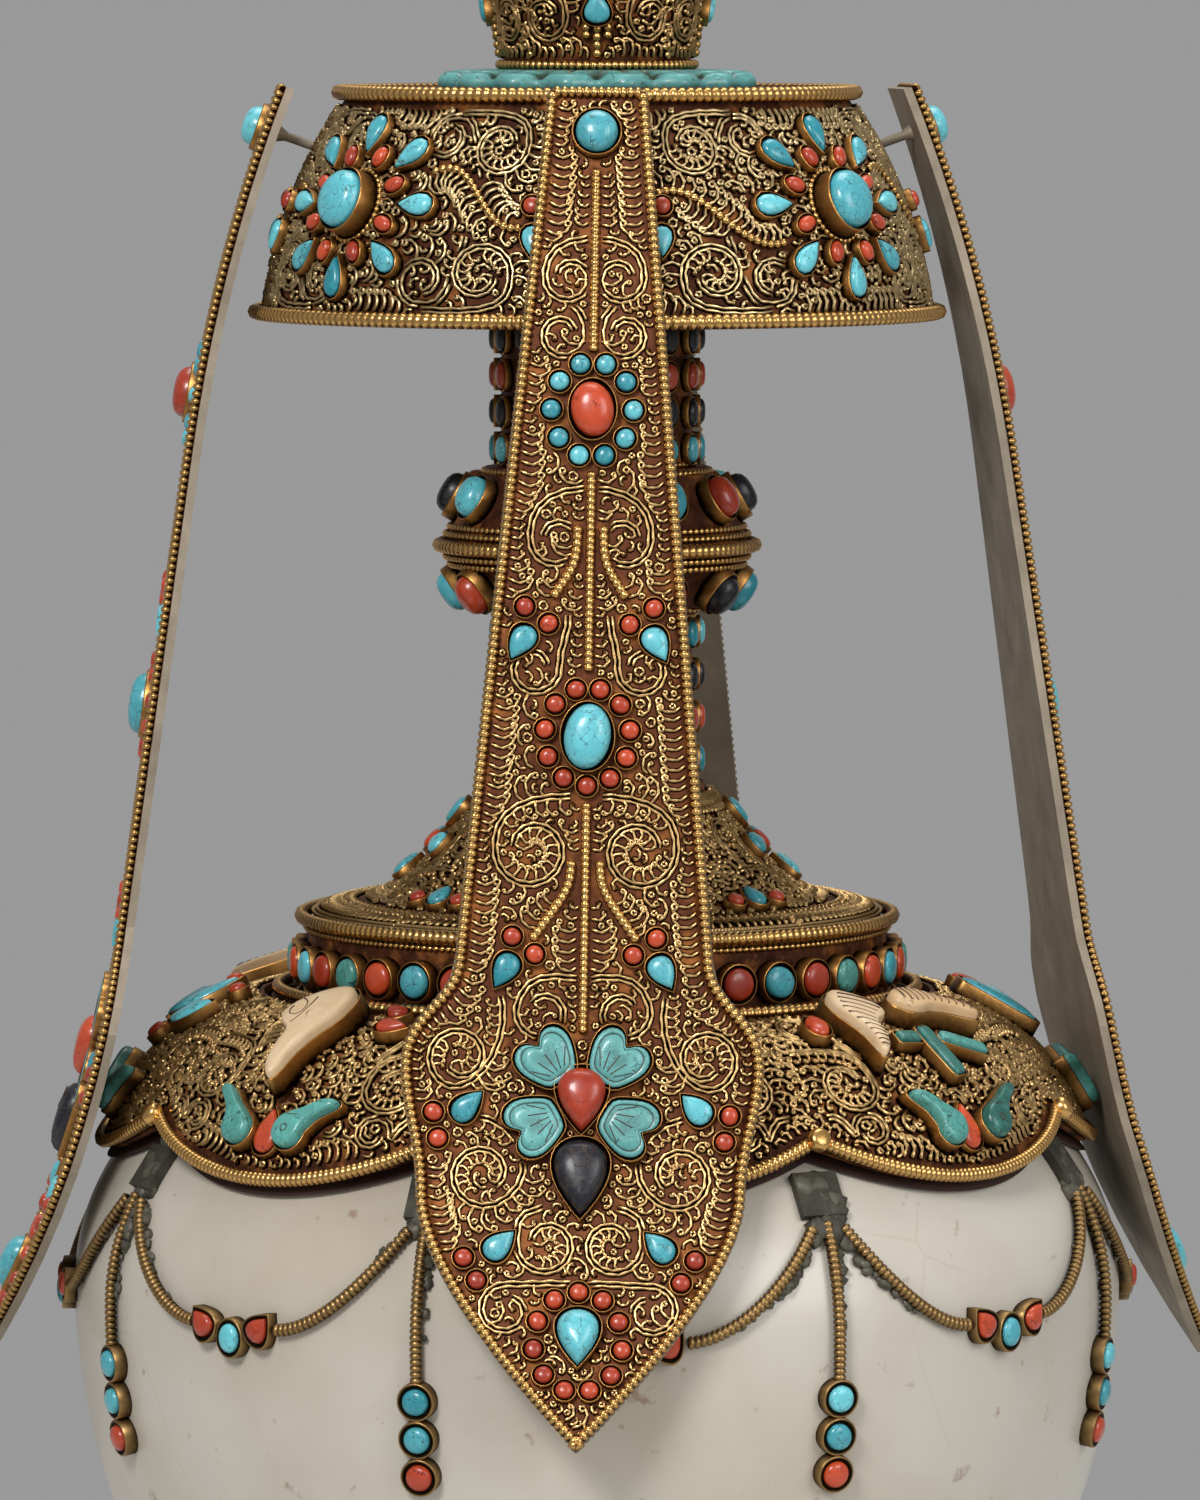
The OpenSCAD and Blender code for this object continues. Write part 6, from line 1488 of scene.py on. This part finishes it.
# %% Shoulder emblems
VASE_SIGN = [("S", "oval", 9, 10, 0, 0, 24.5), ("C", "half", 5, 3.4, 0, 0, 32.6)]
PARASOL_SIGN = [("S", "horn", 10.8, 15.5, -32, -10.6, 26.4), ("S", "comma", 8, 17, -108, 9, 30),
                ("P", "slab", 2.8, 11, 2, 2.4, 20.8), ("P", "slab", 4.6, 2.2, -8, -2.2, 24.4),
                ("P", "slab", 2.2, 10, 62, 9.6, 21.6), ("C", "oval", 4, 5.4, 0, -17.6, 29)]
BANNER_SIGN = [("T", "slab", 5, 15, 10, -5, 27), ("T", "leaf", 5, 11, -20, 5, 24),
               ("C", "oval", 4, 5.4, 0, 1, 32.5)]
WHEEL_SIGN = [("S", "round", 11, 11, 0, 0, 26), ("T", "drop", 4.4, 6, -90, -10, 26),
              ("T", "drop", 4.4, 6, 90, 10, 26), ("C", "round", 3, 3, 0, -8, 32),
              ("C", "round", 3, 3, 0, 8, 32)]
KNOT_SIGN = [("C", "slab", 8, 8, 45, 0, 26), ("T", "drop", 4, 6, 90, 10, 26),
             ("T", "drop", 4, 6, -90, -10, 26), ("T", "round", 3.2, 3.2, 0, 0, 34.5)]
LOTUS_SIGN = [("T", "leaf", 5, 13, 0, 0, 29), ("T", "leaf", 5, 12, 50, -8, 25.5),
              ("T", "leaf", 5, 12, -50, 8, 25.5), ("C", "round", 3.6, 3.6, 0, 0, 19.4),
              ("C", "round", 3.2, 3.2, 0, -8.5, 33.5), ("C", "round", 3.2, 3.2, 0, 8.5, 33.5)]
CONCH_SIGN = [("S", "conch", 14.2, 21, 26, -1.4, 23.8), ("C", "drop", 3.6, 5, 60, 9.4, 34),
              ("C", "drop", 3.6, 6, -90, 12.2, 29.4), ("C", "drop", 3.4, 4.4, 90, -10.2, 30.6)]
LOBE_FOOT = [("C", "drop", 4.8, 8, 0, 0, 7.4), ("P", "comma", 7.4, 12.4, -36, 7.4, 9.6),
             ("P", "comma_left", 7.4, 11.8, 22, -6.4, 9.6)]
SIGNS = [VASE_SIGN, PARASOL_SIGN, BANNER_SIGN, WHEEL_SIGN, KNOT_SIGN, PARASOL_SIGN, LOTUS_SIGN, CONCH_SIGN]
CAP_W, CAP_TOP = 72.0, CAP_BULGE * (CAP_A1 - CAP_A0)


def lobe_edge(a):
    """Level of the cap's edge at an angle from the middle of a lobe: a circle as seen from the front."""
    return Z_LOBE + CAP_SCALLOP - np.sqrt(CAP_SCALLOP**2 - (CAP_EDGE_R * np.sin(a))**2)


def cap_v(z):
    """Length up the cap's section at a level."""
    return CAP_BULGE * (np.arcsin((z - CAP_MID[1]) / CAP_BULGE) - CAP_A0)


# %% Shoulder lobes
half_lobe = LOBE_STEP / 2 * CAP_W
edge_u = np.linspace(-half_lobe, half_lobe, 121)
edge_v = cap_v(lobe_edge(edge_u / CAP_W)) + 2.9
LOBE_SCROLLS = [(19.0, 17.4, 5.0, 180, 1, 0.9, (27.0, 25.0), (14.4, 26.0)),
                (21.4, 31.2, 4.2, 180, -1, 0.9, (13.4, 22.4), (15.4, 26.4)),
                (18.0, 8.6, 3.0, 0, 1, 0.9, (25.0, 11.4), (22.0, 12.4))]


def shoulder_lobe(k):
    """The filigree of one lobe round its own sign."""
    panel = round_panel((-half_lobe, 0), (half_lobe, CAP_TOP),
                        lambda u, v: (v > cap_v(lobe_edge(u / CAP_W)) + 2.7) & (v < CAP_TOP - 1),
                        SIGNS[k] + LOBE_FOOT, CAP, CAP_W)
    guides = [(np.c_[edge_u, edge_v], 1), (np.c_[edge_u, np.full(121, CAP_TOP - 1.2)], -1)]
    lines = filigree(panel, both_sides(LOBE_SCROLLS), guides)
    round_wire(f"shoulder_filigree_{k + 1}", CAP, CAP_W, lines, [lobe_turns[k]])


rng = np.random.default_rng(31)
lobe_turns = LOBE_TURN + LOBE_STEP * np.arange(LOBES)
for k in range(LOBES):
    shoulder_lobe(k)
sign_gems = [g for k in range(LOBES) for g in round_seats(SIGNS[k], lobe_turns[k], CAP)]
tip_gems = [g for turn in lobe_turns for g in round_seats(LOBE_FOOT, turn, CAP)]
SIGN_TALL, TIP_TALL = 1.4, 0.15
set_gems("shoulder", sign_gems, "shoulder", ["shoulder_settings"], SIGN_TALL)
set_gems("lobe_tip", tip_gems, tall=TIP_TALL)

# %% Lines on the shoulder stones
rib = np.linspace(-1, 1, 9)


def ribs(levels, steps, middles, halves):
    """Bowed lines across a stone, each at its level: its middle and half-length are read between a few given
    ones."""
    reach = [np.interp(y, steps, middles) + 0.75 * np.interp(y, steps, halves) * rib for y in levels]
    return [np.c_[x, y - 0.03 * rib**2] for x, y in zip(reach, levels)]


HORN_LINES = ribs(np.linspace(-0.42, 0.38, 11), [-0.45, -0.3, -0.1, 0.1, 0.3],
                  [0.22, 0.21, 0.07, -0.16, -0.14], [0.08, 0.15, 0.2, 0.32, 0.46])
FAN_LINES = ribs(np.linspace(-0.4, 0.4, 11), [-0.4, -0.26, -0.1, 0.1, 0.4], [0, 0, 0, 0.11, 0.32],
                 [0.3, 0.38, 0.28, 0.18, 0.15])
turn_in = np.linspace(0.4, 5.6, 24)
conch_curl = 0.05 + 0.02 * turn_in
CONCH_LINES = [np.c_[-0.1 + conch_curl * np.cos(turn_in + 1.8),
                     0.28 + 0.75 * conch_curl * np.sin(turn_in + 1.8)],
               np.c_[0.02 + 0.14 * rib, 0.2 + 0.13 * rib + 0.03 * rib**2]]
EYE_LINES = [np.c_[0.08 * np.cos(1.25 * turn_in), -0.26 + 0.05 * np.sin(1.25 * turn_in)],
             np.c_[-0.1 + 0.12 * rib, -0.06 + 0.05 * rib]]
FLAT_TOP = HIGH_WALL - SUNK + FLAT_SHARE * HIGH_DOME
SHELL_LINES = (("horn", "horn", HORN_LINES), ("fan", "comma", FAN_LINES), ("conch", "conch", CONCH_LINES))
for word, shape, lines in SHELL_LINES:
    shells = [g for g in sign_gems if g[:2] == ("S", shape)]
    scratches(word + "_lines", shells, lines, FLAT_TOP + SIGN_TALL, "vase", "shell")
commas = [g for g in tip_gems if g[1] == "comma"]
scratches("comma_lines", commas, EYE_LINES, FLAT_TOP + TIP_TALL, "vase", "turquoise")

# %% Shoulder rim and studs
RIM_BEAD_R, STUD_W = 1.2, 4.0
lobe_a = np.linspace(-LOBE_STEP / 2, LOBE_STEP / 2, 48, endpoint=False)
rim_z = np.tile(lobe_edge(lobe_a) + RIM_BEAD_R, LOBES)
rim_a = np.concatenate([LOBE_TURN + k * LOBE_STEP + lobe_a for k in range(LOBES)])
rim_r, rim_tilt = CAP(cap_v(rim_z))[0] + 1.32, CAP(cap_v(rim_z))[2]
rim_line = around(rim_r, rim_a, rim_z)
rim_out = around(np.cos(rim_tilt), rim_a, np.sin(rim_tilt))
shoulder_beads = beads([rim_line], [rim_out], 1.05, RIM_BEAD_R, True, 8, DISC_BEAD)
mount("shoulder_rim_beads", shoulder_beads, gilt_bead, ["shoulder_rim"])
stud_turns = LOBE_TURN + (np.arange(LOBES) + 0.5) * LOBE_STEP
joint_r, joint_z, joint_tilt = float(rim_r[0]) + 1.0, float(rim_z[0]), float(rim_tilt[0])
studs = [("C", "round", STUD_W, STUD_W, 0, seat(turn, joint_r, joint_z, joint_tilt)) for turn in stud_turns]
STUD_RATE, STUD_LEVEL = np.array([1.0, 1.0, 0.9, 0.68, 0.3]), np.array([-0.4, 0.4, 1.1, 1.5, 1.6])
mount("shoulder_studs", raised(studs, STUD_RATE, np.tile(STUD_LEVEL, (LOBES, 1)), np.ones(5), 20), gilt_bead)
paint(copper_sheet, "shoulder_cap")
paint(resin_dark, "shoulder_bed")

# %% [markdown]
# ## Garland
# Beaded wires hang from solder tabs at the lobe joints: one straight down to a drop of three stones, and two
# that swing to the neighbouring trios. The solder is lumpy and grey, and more of it clings to the wires. A
# hanging chain could be simulated, but these wires are soldered stiff, so each is a curve on the stone itself.

# %% Garland
def belly_line(turns, z, d):
    """A line beside the stone, d outside it, and its outward directions."""
    tilt = belly_tilt(z)
    out = around(np.cos(tilt), turns, np.sin(tilt))
    return around(belly_r(z), turns, z) + d * out, out


def belly_seat(turn, u, z, d=SEAT):
    """A seat on the stone, d above it."""
    r, tilt = float(belly_r(z)), float(belly_tilt(z))
    return seat(turn + u / r, r + d * np.cos(tilt), z + d * np.sin(tilt), tilt)


Z_HANG, GEM_PITCH, STRAND_OUT = Z_WIDE - 9.5, 6.2, 1.22
z_tab, z_drop, z_trio = Z_WIDE + 22.3 - 4.24, Z_HANG + 2.94, Z_WIDE + 0.5
start, reach = 2.7 / float(belly_r(z_tab)), LOBE_STEP / 2 - 9.14 / BELLY_R


def drop_level(f):
    """Level of the straight wire at a share of its way from the tab."""
    return z_tab + (z_drop - z_tab) * f


def swing_level(f):
    """Level of a swinging wire at a share of its way: steep at the tab, flat at the trio."""
    return z_trio + (z_tab - 0.77 - z_trio) * (1 - f)**1.8


def swing_turn(f):
    """How far round the vase a swinging wire has come."""
    return start + (reach - start) * f


way_down = np.linspace(0, 1, 50)
strands = [belly_line(turn, drop_level(way_down), STRAND_OUT) for turn in stud_turns]
strands += [belly_line(turn + side * swing_turn(way_down), swing_level(way_down), STRAND_OUT)
            for turn in stud_turns for side in (-1, 1)]
strand_beads = beads([q[0] for q in strands], [q[1] for q in strands], 1.0, 1.1, False, 8, DISC_BEAD)
mount("garland_strands", strand_beads, garland_gilt, ["garland_wires"])
garland_gems = [(kind, "round", 4.6, 4.6, 0, belly_seat(turn, 0, Z_HANG - GEM_PITCH * i))
                for turn in stud_turns for i, kind in enumerate("TTC")]
TRIO = ((-1, "C", "drop", 40), (0, "T", "oval", 0), (1, "C", "drop", -40))
garland_gems += [(kind, shape, 4.2, 5.0, spin, belly_seat(turn, GEM_PITCH * i, Z_WIDE - 1.5 + 2 * abs(i)))
                 for turn in lobe_turns for i, kind, shape, spin in TRIO]
set_gems("garland", garland_gems, "garland", (), 0.9, 1.7, garland_gilt)


# %% Solder
def lumps(places, sizes, sides=7):
    """Lumps of solder: balls pressed flat on the stone, with a radius that wanders from point to point."""
    a, b = np.meshgrid(np.linspace(-1.2, 1.2, 5), even_turns(sides), indexing="ij")
    ball = np.stack([np.cos(a) * np.cos(b), np.cos(a) * np.sin(b), 0.7 * np.sin(a)], -1)
    parts = []
    for rows, size in zip(places, sizes):
        local = ball * size * rng.uniform(0.75, 1.2, ball.shape[:2])[..., None]
        points, faces, proud = grid_part(rows[0] + local @ rows[1:], rng.uniform(0, 1, (5, 1)), True)
        caps = [np.arange(sides)[None, ::-1], 4 * sides + np.arange(sides)[None]]
        parts.append((points, faces + caps, proud))
    return merge(parts)


rng = np.random.default_rng(41)
lump_seats, lump_sizes, TAB_LUMPS = [], [], 14
for turn in stud_turns:
    for way in (-1, 0, 1):
        side = rng.choice([-1, 1])
        for f in np.r_[rng.uniform(0, 0.35, 16), rng.uniform(0.3, 0.75, 5)]:
            z = swing_level(f) if way else drop_level(f)
            u = way * swing_turn(f) * float(belly_r(z)) + rng.normal(side * 0.9, 0.4)
            lump_seats.append(belly_seat(turn, u, z - 0.4, rng.uniform(0.2, 0.9)))
            lump_sizes.append(rng.uniform(0.7, 1.5) * (1 - 0.5 * f))
    for i in range(TAB_LUMPS):
        u, z = rng.uniform(-2.6, 2.6), Z_WIDE + rng.uniform(16.5, 27)
        lump_seats.append(belly_seat(turn, u, z, rng.uniform(0, 0.5)))
        lump_sizes.append(rng.uniform(1.7, 2.6))
put("solder_lumps", lumps(lump_seats, lump_sizes), "vase", "solder", solder_grey)
paint(solder_grey, "garland_tabs")

# %% [markdown]
# ## Belly
# The belly is turned from one block of white stone and hollowed through its mouth. It is a profile carried
# round the axis: up the outside, over the flat top, down the inside and across the floor. The solid's own mesh
# could be painted instead, but it is flat triangles, and a polished stone would show them.

# %% Belly
belly_rows = np.linspace(FOOT_H, Z_COLLAR, 96)
belly_outside = np.c_[belly_r(belly_rows), belly_rows]
hollow_rows = np.linspace(Z_COLLAR - BELLY_WALL, FOOT_H + BELLY_WALL, 24)
belly_inside = np.c_[belly_r(hollow_rows) - BELLY_WALL, hollow_rows]
belly_edge = [[BELLY_MOUTH_R, Z_COLLAR], [BELLY_MOUTH_R, Z_COLLAR - BELLY_WALL]]
belly_floor = [[AXIS_R, FOOT_H + BELLY_WALL], [AXIS_R, FOOT_H]]
belly_profile = np.r_[belly_outside, belly_edge, belly_inside, belly_floor]
put("belly_stone", lathe(belly_profile, 0.5, 160, True), "vase", "belly_stone", white_stone, ["belly"])

# %% [markdown]
# ## Lower cup and foot
# Both lie below the edge of the photograph. They follow the shoulder: scallops with a beaded edge on the
# stone, and a spun foot with filigree between two bead rings. They are seen least, so one lobe's wire is
# repeated and drawn with fewer points.

# %% Lower cup
LOW_W, LOW_R = 74.0, float(belly_r(58.0)) + 1.62
BELLY_V = lengths(np.c_[belly_r(belly_z), belly_z])


def low_edge(a):
    """Level of the lower cup's edge at an angle from the middle of a lobe."""
    return Z_LOW_TIP - LOW_SCALLOP + np.sqrt(LOW_SCALLOP**2 - (LOW_R * np.sin(a))**2)


def low_top(u):
    """Length up the stone to the lower cup's edge, at a place across its panel."""
    return np.interp(low_edge(u / LOW_W), belly_z, BELLY_V)


half_low, UNSEEN, LOW_LIFT = LOBE_STEP / 2 * LOW_W, 2.0, 1.68
low_panel = Panel((-half_low, 0), (half_low, 46), lambda u, v: (v > 1.5) & (v < low_top(u) - 3))
low_u = np.linspace(-half_low, half_low, 121)
low_guides = [(np.c_[low_u, np.full(121, 1.7)], 1), (np.c_[low_u, low_top(low_u) - 3.1], -1)]
LOW_SCROLLS = [(11.0, 24.0, 5.6, 180, 1, 0.9, (20.0, 29.4), (7.0, 33.0)),
               (20.6, 12.4, 5.4, 180, -1, 0.9, (12.0, 3.4), (14.4, 6.4)),
               (7.6, 9.4, 4.6, 0, 1, 0.9, (3.0, 16.6), (11.4, 17.4))]
low_wire = filigree(low_panel, both_sides(LOW_SCROLLS), low_guides, coarse=UNSEEN)
for k, turn in enumerate(lobe_turns):
    round_wire(f"lower_cup_filigree_{k + 1}", BELLY, LOW_W, low_wire, [turn], lift=LOW_LIFT)
low_line, low_out = belly_line(rim_a, np.tile(low_edge(lobe_a) - RIM_BEAD_R, LOBES), 2.94)
paint(copper_sheet, "belly_cup", "foot")
paint(back_metal, "foot_plate")

# %% Foot
foot_curve = np.r_[bezier([[56.5, 6.5], [47.5, 6.8], [37, 11.52], [37, 18.56]], 40),
                   bezier([[37, 18.56], [37, 24.96], [40.8, 26.88], [51, 30.6]], 40)[1:]]
FOOT, FOOT_W, foot_len = line_section(foot_curve), 46.0, line_length(foot_curve)
half_foot = np.pi / 8 * FOOT_W
foot_panel = Panel((-half_foot, 0), (half_foot, foot_len), lambda u, v: (v > 1.5) & (v < foot_len - 2.5))
FOOT_SCROLLS = [(9.2, 10.0, 4.8, 180, 1, 0.9, (16.4, 17.0), (6.0, 17.4)),
                (9.2, 34.0, 4.8, 180, -1, 0.9, (16.4, 26.6), (6.0, 26.2))]
foot_guides = level_guides(-half_foot, half_foot, 1.7, foot_len - 2.7)
foot_wire = filigree(foot_panel, both_sides(FOOT_SCROLLS), foot_guides, coarse=UNSEEN)
round_wire("foot_filigree", FOOT, FOOT_W, foot_wire, EIGHTHS)
foot_edge = ring_beads([(59.32, z, RIM_BEAD_R) for z in (1.32, 4.88)], 1.6, DISC_BEAD, 6)
low_beads = beads([low_line], [low_out], 1.3, RIM_BEAD_R, True, 6, DISC_BEAD)
mount("foot_rim_beads", merge([foot_edge, low_beads]), gilt_bead, ["foot_rims"])
waist_rings = [(37.6, 18.6, 0.9), (37.4, 16.6, 0.6), (37.4, 20.6, 0.6), (50.6, 29.6, 0.8)]
mount("foot_waist_rings", ring_beads(waist_rings, 1.3), gilt_bead)
